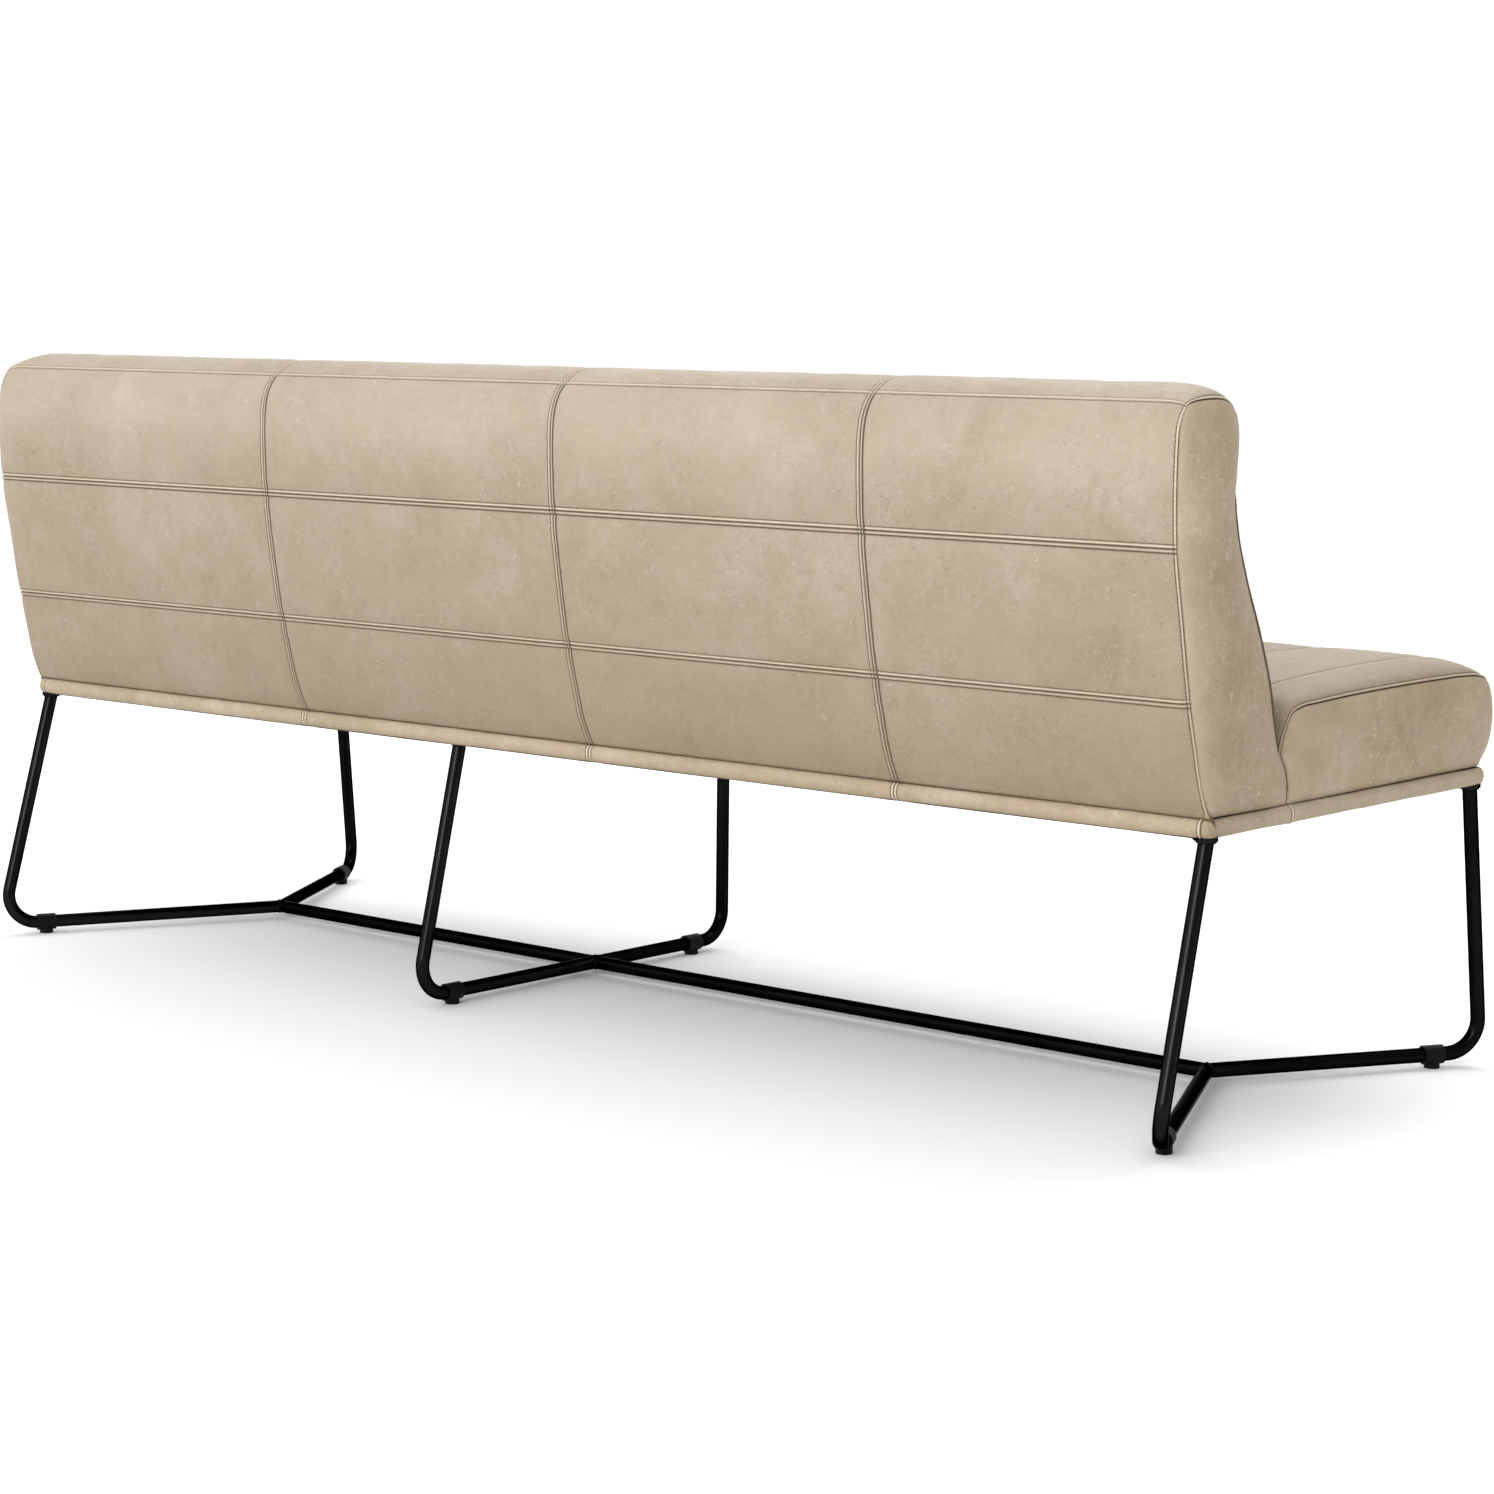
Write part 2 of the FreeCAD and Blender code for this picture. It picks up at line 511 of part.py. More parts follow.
wall = wall.common(Part.makeBox(3000, 600, 600, V(-1500, 0, d("band_low") + d("band_tall") + T)))
rear_skin = prism([(240, 340), (262, 402), (287, 500), (312, 660), (314, 760), (303, 806), (330, 826), (420, 826), (420, 340)], -1500, 1500)
node(feature("back_rear_cover", single(wall.common(rear_skin))), "back_rear_cover")
front_skin = wall.cut(rear_skin).cut(Part.makeBox(3000, 130, 60, V(-1500, 40, 366)))
node(feature("back_front_cover", single(front_skin)), "back_front_cover")
node(feature("back_side_panel_left", prism(back_out, -H, -H + T)), "back_side_panel_left")
node(feature("back_side_panel_right", prism(back_out, H - T, H)), "back_side_panel_right")

# ---------------------------------------------------------------- check and write
doc.recompute()
for obj in doc.Objects:
    if "Invalid" in obj.State or "Error" in obj.State:
        raise RuntimeError("%s failed: %s" % (obj.Label, obj.State))
total = FreeCAD.BoundBox()
for obj in NODES:
    s = obj.Shape
    if s.isNull() or not s.isValid() or not s.Solids:
        raise RuntimeError("%s has no valid solid" % obj.Label)
    if min(x.Volume for x in s.Solids) <= 0:
        raise RuntimeError("%s has an empty solid" % obj.Label)
    total.add(s.BoundBox)
os.makedirs("parts", exist_ok=True)
for obj in NODES:
    obj.Shape.exportStep("parts/%s.step" % obj.Label)
    print("%-24s solids %2d volume %12.0f" % (obj.Label, len(obj.Shape.Solids), obj.Shape.Volume))
print("box", total)
print("nodes", len(NODES))
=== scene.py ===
import bpy
import math
import numpy as np
from mathutils import Matrix, Vector


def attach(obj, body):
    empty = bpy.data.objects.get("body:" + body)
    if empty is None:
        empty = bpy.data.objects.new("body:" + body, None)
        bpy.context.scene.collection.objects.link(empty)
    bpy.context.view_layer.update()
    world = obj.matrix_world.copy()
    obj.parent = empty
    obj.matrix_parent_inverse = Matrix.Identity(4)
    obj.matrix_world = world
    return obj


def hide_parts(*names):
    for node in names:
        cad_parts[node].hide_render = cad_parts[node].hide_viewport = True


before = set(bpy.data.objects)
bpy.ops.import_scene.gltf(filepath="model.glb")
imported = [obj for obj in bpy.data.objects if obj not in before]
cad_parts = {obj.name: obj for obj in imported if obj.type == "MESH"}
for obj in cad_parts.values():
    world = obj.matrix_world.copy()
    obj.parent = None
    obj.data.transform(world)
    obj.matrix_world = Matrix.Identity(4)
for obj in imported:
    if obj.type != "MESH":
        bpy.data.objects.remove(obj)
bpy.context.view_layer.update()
scene = bpy.context.scene
MM = 0.001

# ------------------------------------------------------------------ camera
AZ, EL, ROLL = math.radians(221.38), math.radians(6.81), math.radians(0.16)
back_axis = Vector((math.sin(AZ) * math.cos(EL), -math.cos(AZ) * math.cos(EL), math.sin(EL)))
fwd = -back_axis
right = fwd.cross(Vector((0, 0, 1))).normalized()
up = right.cross(fwd)
right2 = right * math.cos(ROLL) + up * math.sin(ROLL)
up2 = up * math.cos(ROLL) - right * math.sin(ROLL)
cam_data = bpy.data.cameras.new("camera")
cam = bpy.data.objects.new("camera", cam_data)
scene.collection.objects.link(cam)
loc = Vector((-3.1559, 3.4369, 0.9462))
cam.matrix_world = Matrix((
    (right2.x, up2.x, back_axis.x, loc.x),
    (right2.y, up2.y, back_axis.y, loc.y),
    (right2.z, up2.z, back_axis.z, loc.z),
    (0, 0, 0, 1)))
cam_data.sensor_fit = "HORIZONTAL"
cam_data.sensor_width = 36.0
cam_data.lens = 85.76
cam_data.shift_x = -0.0034
cam_data.shift_y = -0.0290
cam_data.clip_start, cam_data.clip_end = 0.05, 200.0
scene.camera = cam

# ------------------------------------------------------------------ small maths
rng = np.random.default_rng(20417)


def natural_cubic(t, v, tt):
    n = len(t)
    hh = np.diff(t)
    a = np.zeros((n, n))
    b = np.zeros(n)
    a[0, 0] = a[-1, -1] = 1
    for i in range(1, n - 1):
        a[i, i - 1], a[i, i], a[i, i + 1] = hh[i - 1], 2 * (hh[i - 1] + hh[i]), hh[i]
        b[i] = 6 * ((v[i + 1] - v[i]) / hh[i] - (v[i] - v[i - 1]) / hh[i - 1])
    m = np.linalg.solve(a, b)
    k = np.clip(np.searchsorted(t, tt, side="right") - 1, 0, n - 2)
    d0, d1, w = tt - t[k], t[k + 1] - tt, hh[k]
    return (m[k] * d1 ** 3 + m[k + 1] * d0 ** 3) / (6 * w) + (v[k] / w - m[k] * w / 6) * d1 + (v[k + 1] / w - m[k + 1] * w / 6) * d0


class Profile:
    """A side outline in millimetres, (y, z), read by arc length. Its normal points outwards."""

    def __init__(self, pts, n=6000):
        p = np.array(pts, float)
        t = np.r_[0, np.cumsum(np.linalg.norm(np.diff(p, axis=0), axis=1) ** 0.75)]
        tt = np.linspace(0, t[-1], n)
        self.p = np.c_[natural_cubic(t, p[:, 0], tt), natural_cubic(t, p[:, 1], tt)]
        self.s = np.r_[0, np.cumsum(np.linalg.norm(np.diff(self.p, axis=0), axis=1))]
        tan = np.gradient(self.p, self.s, axis=0)
        tan /= np.linalg.norm(tan, axis=1)[:, None]
        self.n = np.c_[tan[:, 1], -tan[:, 0]]
        self.length = self.s[-1]

    def at(self, s):
        return np.stack([np.interp(s, self.s, self.p[:, 0]), np.interp(s, self.s, self.p[:, 1])], -1)

    def normal(self, s):
        q = np.stack([np.interp(s, self.s, self.n[:, 0]), np.interp(s, self.s, self.n[:, 1])], -1)
        return q / np.linalg.norm(q, axis=-1, keepdims=True)

    def s_at(self, y, z):
        return float(self.s[np.argmin((self.p[:, 0] - y) ** 2 + (self.p[:, 1] - z) ** 2)])


def spread_samples(a, b, step, marks):
    """Sorted samples from a to b: about step apart, with the given offsets on both sides of each mark."""
    got = [a, b]
    zones = []
    for c, offs in marks:
        for o in offs:
            for v in (c - o, c + o):
                if a <= v <= b:
                    got.append(v)
        zones.append((c - max(offs) * 1.15, c + max(offs) * 1.15))
    n = max(2, int(round((b - a) / step)))
    for v in np.linspace(a, b, n + 1):
        if not any(lo < v < hi for lo, hi in zones):
            got.append(v)
    got = np.unique(np.round(np.array(got), 4))
    keep = [got[0]]
    for v in got[1:]:
        if v - keep[-1] > 0.18:
            keep.append(v)
    keep[-1] = b
    return np.array(keep)


def cubic_weights(xs, xq):
    """Index and tangent weights for a smooth pass through samples xs, read at xq."""
    k = np.clip(np.searchsorted(xs, xq, side="right") - 1, 0, len(xs) - 2)
    h = xs[k + 1] - xs[k]
    return k, h, np.clip((xq - xs[k]) / h, 0, 1)


def interp_rows(xs, v, xq):
    """Cubic pass along axis 0."""
    k, h, t = cubic_weights(xs, xq)
    d = np.gradient(v, xs, axis=0)
    t2, t3 = t * t, t * t * t
    sh = (-1,) + (1,) * (v.ndim - 1)
    a, b, c, e = (2 * t3 - 3 * t2 + 1).reshape(sh), ((t3 - 2 * t2 + t) * h).reshape(sh), (3 * t2 - 2 * t3).reshape(sh), ((t3 - t2) * h).reshape(sh)
    return a * v[k] + b * d[k] + c * v[k + 1] + e * d[k + 1]


def lattice(shape, seed):
    return np.random.default_rng(seed).random(shape) * 2 - 1


def soft_noise(u, v, cell_u, cell_v, seed):
    """Smooth value noise from -1 to 1 over two coordinates in millimetres."""
    a, b = (u + 9000.0) / cell_u, (v + 9000.0) / cell_v
    i, j = np.floor(a).astype(int), np.floor(b).astype(int)
    fu, fv = a - i, b - j
    fu, fv = fu * fu * fu * (fu * (fu * 6 - 15) + 10), fv * fv * fv * (fv * (fv * 6 - 15) + 10)
    t = lattice((256, 256), seed)
    g = lambda p, q: t[p % 256, q % 256]
    return (g(i, j) * (1 - fu) + g(i + 1, j) * fu) * (1 - fv) + (g(i, j + 1) * (1 - fu) + g(i + 1, j + 1) * fu) * fv


def bell(d, w):
    return np.exp(-(d / w) ** 2)


# ------------------------------------------------------------------ seam sections, millimetres from the seam line
STITCH_OFF = 4.7
DOUBLE = [0, .4, .8, 1.25, 1.8, 2.4, 3.0, 3.6, 4.1, 4.45, 4.75, 5.1, 5.6, 6.4, 7.8, 10.0]
CHANNEL = [0, .5, 1.0, 1.7, 2.8, 4.5, 7.0, 10.5]
EDGE = [0, .35, .7, 1.1, 1.6, 2.2, 2.9, 3.6, 4.2, 4.6, 5.0, 5.5, 6.4, 8.0, 10.5]


def double_h(d):
    a = np.abs(d)
    return -2.5 * bell(a, .75) + .95 * bell(a - 2.4, 1.2) - .75 * bell(a - STITCH_OFF, .6) - 1.0 * bell(a, 8.0)


def double_dark(d, low=.82, high=.70, mid=.95, wide=.65):
    """Darkness of a double-stitched seam: the seam itself and a stitch line on either side. It is the dark of the
    thread and groove plus painted crevice shade; a heavier low or high line is painted shade on the side away from the
    light.
    """
    return np.maximum(mid * bell(d, .8), np.maximum(low * bell(d + STITCH_OFF, wide), high * bell(d - STITCH_OFF, .6)))


# painted highlight: the raised lips on both sides of a double seam, lightened as if catching the light
def double_lip_highlight(d):
    return bell(np.abs(d) - 2.4, 1.1)


def channel_h(d):
    a = np.abs(d)
    return -1.0 * bell(a, 1.0) - 1.1 * bell(a, 6.0)


def channel_dark(d):
    return .8 * bell(np.abs(d), .75)


def edge_h(d, stitched):
    return -2.8 * bell(d, .8) + .7 * bell(d - 2.4, 1.2) - (.7 * bell(d - STITCH_OFF, .6) if stitched else 0) - .5 * bell(d, 7.0)


def edge_dark(d, stitched):
    return np.maximum(bell(d, .85), (.6 * bell(d - STITCH_OFF, .55)) if stitched else 0)


# ------------------------------------------------------------------ padding: cloth swelled between its seams
def membrane(us, vs, pins, rounds=900):
    """Height of a thin skin under even pressure, held at the pins."""
    w = np.zeros(pins.shape)
    du, dv = np.diff(us), np.diff(vs)
    hu, hv = (du[:-1] + du[1:]) / 2, (dv[:-1] + dv[1:]) / 2
    cu0, cu1 = 1 / (du[:-1] * hu), 1 / (du[1:] * hu)
    cv0, cv1 = 1 / (dv[:-1] * hv), 1 / (dv[1:] * hv)
    diag = (cu0 + cu1)[:, None] + (cv0 + cv1)[None, :]
    free = ~pins[1:-1, 1:-1]
    for _ in range(rounds):
        new = (1 + cu0[:, None] * w[:-2, 1:-1] + cu1[:, None] * w[2:, 1:-1] + cv0[None] * w[1:-1, :-2] + cv1[None] * w[1:-1, 2:]) / diag
        w[1:-1, 1:-1] = np.where(free, new, 0)
    return w


def grid_faces(n, m, base=0):
    i, j = np.meshgrid(np.arange(n - 1), np.arange(m - 1), indexing="ij")
    a = base + i * m + j
    return np.stack([a, a + m, a + m + 1, a + 1], -1).reshape(-1, 4)


def cloth_swell(name, grid, pins, pressure=4.0, frames=20):
    """Cloth on the grid (metres), held at the pins and blown up from inside. Returns the moved grid."""
    n, m = pins.shape
    me = bpy.data.meshes.new(name)
    me.from_pydata(grid.reshape(-1, 3).tolist(), [], grid_faces(n, m).tolist())
    ob = bpy.data.objects.new(name, me)
    scene.collection.objects.link(ob)
    vg = ob.vertex_groups.new(name="pin")
    vg.add(np.flatnonzero(pins.ravel()).tolist(), 1.0, "REPLACE")
    mod = ob.modifiers.new("cloth", "CLOTH")
    st = mod.settings
    st.quality = 6
    st.mass = 0.002
    st.tension_stiffness = st.compression_stiffness = 6
    st.shear_stiffness = 3
    st.bending_stiffness = 0.4
    st.air_damping = 2
    st.vertex_group_mass = "pin"
    st.pin_stiffness = 1
    st.use_pressure = True
    st.uniform_pressure_force = pressure
    st.effector_weights.gravity = 0
    mod.collision_settings.use_collision = False
    mod.point_cache.frame_start, mod.point_cache.frame_end = 1, frames
    for f in range(1, frames + 1):
        scene.frame_set(f)
    ev = ob.evaluated_get(bpy.context.evaluated_depsgraph_get())
    co = np.zeros(n * m * 3, np.float32)
    ev.data.vertices.foreach_get("co", co)
    bpy.data.objects.remove(ob)
    bpy.data.meshes.remove(me)
    scene.frame_set(1)
    return co.reshape(n, m, 3).astype(float)


def normals_of(p):
    du, dv = np.gradient(p, axis=0), np.gradient(p, axis=1)
    n = np.cross(du, dv)
    return n / np.maximum(np.linalg.norm(n, axis=-1, keepdims=True), 1e-12)


def swell(name, us, vs, grid_mm, pins, crown):
    """Height of the padding over the grid, millimetres, at most about crown."""
    flat = membrane(us, vs, pins)
    flat *= crown / max(np.percentile(flat[~pins], 97), 1e-9)
    moved = cloth_swell(name, grid_mm * MM, pins)
    w = np.sum((moved / MM - grid_mm) * normals_of(grid_mm), -1)
    top = np.percentile(w[~pins], 97)
    print("SWELL", name, "peak mm", round(float(top), 3), "low", round(float(w.min()), 3), "high", round(float(w.max()), 3))
    if not np.isfinite(top) or top < 0.05:
        return flat
    w = np.clip(w * crown / top, -0.3 * crown, 1.6 * crown)
    return 0.65 * w + 0.35 * flat


# ------------------------------------------------------------------ meshes
def new_object(name, verts_mm, faces, attrs=None, smooth=True):
    me = bpy.data.meshes.new(name)
    me.from_pydata((np.asarray(verts_mm) * MM).tolist(), [], [list(map(int, f)) for f in faces])
    me.polygons.foreach_set("use_smooth", np.full(len(me.polygons), smooth))
    for k, v in (attrs or {}).items():
        a = me.attributes.new(k, "FLOAT", "POINT")
        a.data.foreach_set("value", np.asarray(v, np.float32).ravel())
    me.update()
    ob = bpy.data.objects.new(name, me)
    scene.collection.objects.link(ob)
    return ob


def thin(n, step=3):
    k = list(range(0, n - 1, step))
    return k + [n - 1]


def shell(name, outer, inner, attrs, rows=None, cols=None):
    """Closed padded panel: outer grid, inner grid of the given rows and columns, and the rim between them."""
    n, m = outer.shape[:2]
    rows, cols = rows or list(range(n)), cols or list(range(m))
    inner = inner[np.ix_(rows, cols)]
    nr, nc = inner.shape[:2]
    f_out = grid_faces(n, m)
    f_in = grid_faces(nr, nc, n * m)[:, ::-1]

    def o(i, j):
        return i * m + j

    def q(a, b):
        return n * m + a * nc + b

    rim = [[o(i, 0) for i in range(rows[a], rows[a + 1] + 1)] + [q(a + 1, 0), q(a, 0)] for a in range(nr - 1)]
    rim += [[o(n - 1, j) for j in range(cols[b], cols[b + 1] + 1)] + [q(nr - 1, b + 1), q(nr - 1, b)] for b in range(nc - 1)]
    rim += [[o(i, m - 1) for i in range(rows[a], rows[a - 1] - 1, -1)] + [q(a - 1, nc - 1), q(a, nc - 1)] for a in range(nr - 1, 0, -1)]
    rim += [[o(0, j) for j in range(cols[b], cols[b - 1] - 1, -1)] + [q(0, b - 1), q(0, b)] for b in range(nc - 1, 0, -1)]
    rim = [r[::-1] for r in rim]
    verts = np.concatenate([outer.reshape(-1, 3), inner.reshape(-1, 3)])
    both = {k: np.concatenate([v.ravel(), np.zeros(nr * nc)]) for k, v in attrs.items()}
    return new_object(name, verts, f_out.tolist() + f_in.tolist() + rim, both)


# ------------------------------------------------------------------ outlines
BACK = [(255, 343), (263.5, 366), (279.5, 402), (292.5, 448), (305, 496), (319.5, 580), (330.6, 663.5), (333.6, 738), (330.5, 784),
        (323.5, 803), (311.5, 818), (291, 831), (262, 836.8), (236, 829.5), (219.5, 809), (213.5, 785), (216.5, 735), (220, 711),
        (214.5, 675), (199.5, 630), (168.5, 556), (150, 505), (138, 459), (123.5, 424), (116, 400), (114, 384)]
BACK_END = [(256, 345), (264.5, 368), (276.5, 402), (287.0, 448), (297.5, 497), (312.0, 580), (326.0, 663.5), (328.2, 738), (325.8, 785),
            (322.3, 799.5), (314.5, 812.8), (302, 818.2), (266, 820.6), (238, 818.0), (220.5, 805.5), (214.5, 787), (217.0, 735), (219.5, 711),
            (213.5, 675), (198, 630), (165, 556), (145.5, 503), (135.0, 459), (124, 424), (112, 402), (108, 384)]
BACK_TURN = [14, 14, 14, 14, 14, 14, 14, 14, 16, 22, 34, 48, 52, 44, 30, 22, 18, 18, 18, 18, 18, 16, 14, 12, 12, 12]
SEAT = [(111, 384), (114.5, 402), (121.5, 425), (113, 457), (96, 480), (70, 491.5), (35, 496.5), (-30, 500), (-131, 503), (-220, 503),
        (-270, 500.5), (-306, 491.5), (-329.5, 475), (-342.5, 451), (-345.5, 430), (-341.5, 404), (-331.5, 387), (-315, 370), (-305, 350)]
SEAT_END = [(108, 384), (112, 402), (119.5, 422.5), (111.5, 448), (99, 467), (80, 473.8), (42, 475.8), (-28, 478.3), (-131, 480), (-220, 480.2),
            (-273, 479.6), (-308, 477.0), (-329, 470.5), (-340, 451), (-343, 430), (-339, 404), (-329.5, 387), (-314, 371), (-304, 350)]
SEAT_TURN = [12, 12, 12, 18, 34, 50, 60, 64, 66, 66, 64, 54, 34, 20, 16, 14, 14, 14, 14]
back_prof, seat_prof = Profile(BACK), Profile(SEAT)
S_BAND = back_prof.s_at(263.5, 367)
S_ROW2 = back_prof.s_at(305, 496)
S_ROW1 = back_prof.s_at(330.6, 663.5)
S_TOP = back_prof.s_at(311.5, 818)
S_WAIST = back_prof.s_at(220, 711)
S_CREASE = back_prof.s_at(123.5, 424)
COLUMNS = [-582.0, -91.0, 441.0]
CHANNELS = [-957.0 + 1914.0 / 13.0 * k for k in range(14)]
END_X = 1013.5


class Wrap:
    """Leather that runs over a side outline along the whole bench, its ends rounded over to the end seams."""

    def __init__(self, prof, pts, ends, turn, s0, s1, s_marks, x_marks, s_step=8.0, x_step=8.0, flare=None):
        self.prof = prof
        self.ks = np.array([prof.s_at(*q) for q in pts])
        self.ends, self.turn = np.array(ends, float), np.array(turn, float)
        self.flare = flare or (lambda s: 0.0 * s)
        lim = END_X - 12.0
        ring = [(sg * (END_X - 34.0), [0, 4, 8, 12, 16, 20, 25, 30]) for sg in (-1, 1)]
        self.s = spread_samples(s0, s1, s_step, s_marks)
        main = spread_samples(-lim, lim, x_step, list(x_marks) + ring)
        out = END_X - 12.0 * (1 - np.sin(np.linspace(0, np.pi / 2, 31)[1:]))
        self.c = np.r_[-out[::-1], main, out]
        self.plain = self.base(self.s, self.c)
        seg = np.linalg.norm(np.diff(self.plain, axis=1), axis=-1)
        zero = np.zeros((len(self.s), 1))
        self.gap_left = np.concatenate([zero, np.cumsum(seg, 1)], 1)
        self.gap_right = np.concatenate([np.cumsum(seg[:, ::-1], 1)[:, ::-1], zero], 1)
        self.gap = np.minimum(self.gap_left, self.gap_right)

    def end_at(self, s):
        return interp_rows(self.ks, self.ends, np.ravel(s)).reshape(np.shape(s) + (2,))

    def base(self, s, c):
        """Points of the plain form at outline position s (rows) and place c along the bench (columns)."""
        ss, cc = np.meshgrid(s, c, indexing="ij")
        r = np.interp(ss, self.ks, self.turn)
        a = np.abs(cc)
        u = np.clip((a - (END_X - r)) / r, 0, 1)
        w = (1 - np.sqrt(np.maximum(1 - u * u, 0)))[..., None]
        far = np.clip((a - (END_X - 90.0)) / 90.0, 0, 1)
        x = np.sign(cc) * (a + self.flare(ss) * far * far)
        p, e = self.prof.at(ss), self.end_at(s)[:, None]
        return np.concatenate([x[..., None], p + (e - p) * w], -1)

    def coarse(self, s_lines, c_lines, step=13.0):
        def lines(a, b, keep):
            ks = sorted({a, b} | {k for k in keep if a < k < b})
            got = []
            for lo, hi in zip(ks, ks[1:]):
                got += list(np.linspace(lo, hi, max(3, int(round((hi - lo) / step)) + 1))[:-1])
            return np.array(got + [b])
        return lines(self.s[0], self.s[-1], s_lines), lines(self.c[0], self.c[-1], c_lines)

    def build(self, name, height, attrs, thick=6.0):
        nrm = normals_of(self.plain)
        pts = self.plain + nrm * height[..., None]
        self.pts, self.nrm = pts, nrm
        tan = np.gradient(self.plain[:, -1, 1:], axis=0)
        tan /= np.linalg.norm(tan, axis=1)[:, None]
        inward = -np.stack([tan[:, 1], -tan[:, 0]], -1)
        left, right_ = [], []
        for tx, ti in ((3.2, .8), (4.0, 2.0), (5.0, 4.2)):
            for side, k, bag in ((-1, 0, left), (1, -1, right_)):
                e = self.plain[:, k].copy()
                e[:, 0] -= side * tx
                e[:, 1:] += inward * ti
                bag.append(e[:, None])
        outer = np.concatenate(left[::-1] + [pts] + right_, 1)
        n = len(left)
        pad = lambda v, e: np.concatenate([np.full((len(self.s), n), e), v, np.full((len(self.s), n), e)], 1)
        attrs = {q: pad(v, 1.0 if q == "seam" else 0.0) for q, v in attrs.items()}
        inner = self.plain - nrm * thick
        inner[..., 0] = np.clip(inner[..., 0], -(END_X - 6.0), END_X - 6.0)
        inner = np.concatenate([np.repeat(inner[:, :1], n, 1), inner, np.repeat(inner[:, -1:], n, 1)], 1)
        wide = thin(len(self.c))
        cols = [0] + [n + k for k in wide[1:-1]] + [len(self.c) + 2 * n - 1]
        return shell(name, outer, inner, attrs, thin(len(self.s)), cols)

    def read(self, s, c):
        """Point and normal on the finished leather."""
        i = np.clip(np.searchsorted(self.s, s, side="right") - 1, 0, len(self.s) - 2)
        j = np.clip(np.searchsorted(self.c, c, side="right") - 1, 0, len(self.c) - 2)
        fs = np.clip((s - self.s[i]) / (self.s[i + 1] - self.s[i]), 0, 1)[:, None]
        fc = np.clip((c - self.c[j]) / (self.c[j + 1] - self.c[j]), 0, 1)[:, None]
        mix = lambda v: (v[i, j] * (1 - fs) + v[i + 1, j] * fs) * (1 - fc) + (v[i, j + 1] * (1 - fs) + v[i + 1, j + 1] * fs) * fc
        nn = mix(self.nrm)
        return mix(self.pts), nn / np.linalg.norm(nn, axis=1, keepdims=True)

    def beside_end(self, side, gap, lo, hi):
        """Points and normals of a line that keeps its distance from an end seam."""
        rows = np.flatnonzero((self.s >= lo) & (self.s <= hi))
        p, n = [], []
        for i in rows:
            g = self.gap_right[i][::-1] if side > 0 else self.gap_left[i]
            a = (self.pts[i, ::-1], self.nrm[i, ::-1]) if side > 0 else (self.pts[i], self.nrm[i])
            p.append([np.interp(gap, g, a[0][:, k]) for k in range(3)])
            n.append([np.interp(gap, g, a[1][:, k]) for k in range(3)])
        n = np.array(n)
        return np.array(p), n / np.linalg.norm(n, axis=1, keepdims=True)


# ------------------------------------------------------------------ stitches
class Thread:
    """Rows of single stitches, each a short bent thread that dives into the leather at both ends."""

    def __init__(self):
        self.v, self.f = [], []
        self.count = 0

    def row(self, pts, nrm, pitch=5.2, run=4.1, rad=.46, lift=.1):
        seg = np.linalg.norm(np.diff(pts, axis=0), axis=1)
        ln = np.r_[0, np.cumsum(seg)]
        if ln[-1] < pitch:
            return
        starts = np.arange((ln[-1] % pitch) / 2, ln[-1] - run, pitch)
        starts = starts + np.random.default_rng(len(starts)).normal(0, .08, len(starts))
        at = np.array([0, .16, .5, .84, 1.0]) * run
        rise = np.array([-.55, .1, .22, .1, -.55])
        q = starts[:, None] + at[None]
        P = np.stack([np.interp(q, ln, pts[:, k]) for k in range(3)], -1)
        N = np.stack([np.interp(q, ln, nrm[:, k]) for k in range(3)], -1)
        N /= np.linalg.norm(N, axis=-1, keepdims=True)
        T = np.gradient(P, axis=1)
        T /= np.linalg.norm(T, axis=-1, keepdims=True)
        B = np.cross(T, N)
        C = P + N * (rise[None, :, None] + lift)
        ang = np.arange(6) * np.pi / 3
        r = rad * np.array([.7, 1.0, 1.08, 1.0, .7])
        ring = C[:, :, None] + r[None, :, None, None] * (np.cos(ang)[None, None, :, None] * B[:, :, None] + np.sin(ang)[None, None, :, None] * N[:, :, None])
        n = len(starts)
        base = self.count + np.arange(n)[:, None] * 30
        quad = []
        for a in range(4):
            for k in range(6):
                quad.append([a * 6 + k, a * 6 + (k + 1) % 6, (a + 1) * 6 + (k + 1) % 6, (a + 1) * 6 + k])
        quad = np.array(quad)
        self.f += (base[:, :, None] + quad[None]).reshape(-1, 4).tolist()
        self.f += (base + np.array([[5, 4, 3, 2, 1, 0]])).tolist()
        self.f += (base + 24 + np.array([[0, 1, 2, 3, 4, 5]])).tolist()
        self.v.append(ring.reshape(-1, 3))
        self.count += n * 30

    def done(self, name):
        return new_object(name, np.concatenate(self.v), self.f)


def wrap_rows(thread, wrap, s_fixed=None, c_fixed=None, lo=None, hi=None, **kw):
    """One stitch row on a wrap, along the bench (s fixed) or along the outline (c fixed)."""
    q = np.arange(lo, hi, 1.5)
    s = np.full(len(q), s_fixed) if s_fixed is not None else q
    c = np.full(len(q), c_fixed) if c_fixed is not None else q
    p, n = wrap.read(s, c)
    thread.row(p, n, **kw)


# ------------------------------------------------------------------ back, rear cover: four columns by three rows
def back_flare(s):
    """The back stands a little wider where it meets the base."""
    return np.interp(s, [S_BAND - 20, S_BAND, S_ROW2 - 20, S_ROW2 + 60], [4.5, 4.5, 1.0, 0.0])


def wear(u, v, seed):
    return soft_noise(u, v, 70, 70, seed) * .55 + soft_noise(u, v, 31, 31, seed + 1) * .25 + soft_noise(u, v, 150, 120, seed + 2) * .6


def puckers(along, gap, seed):
    """Small gathers beside a sewn line."""
    return .30 * np.exp(-gap / 13.0) * soft_noise(along, gap * .35, 9.0, 30.0, seed) * np.clip(gap / 5.0, 0, 1)


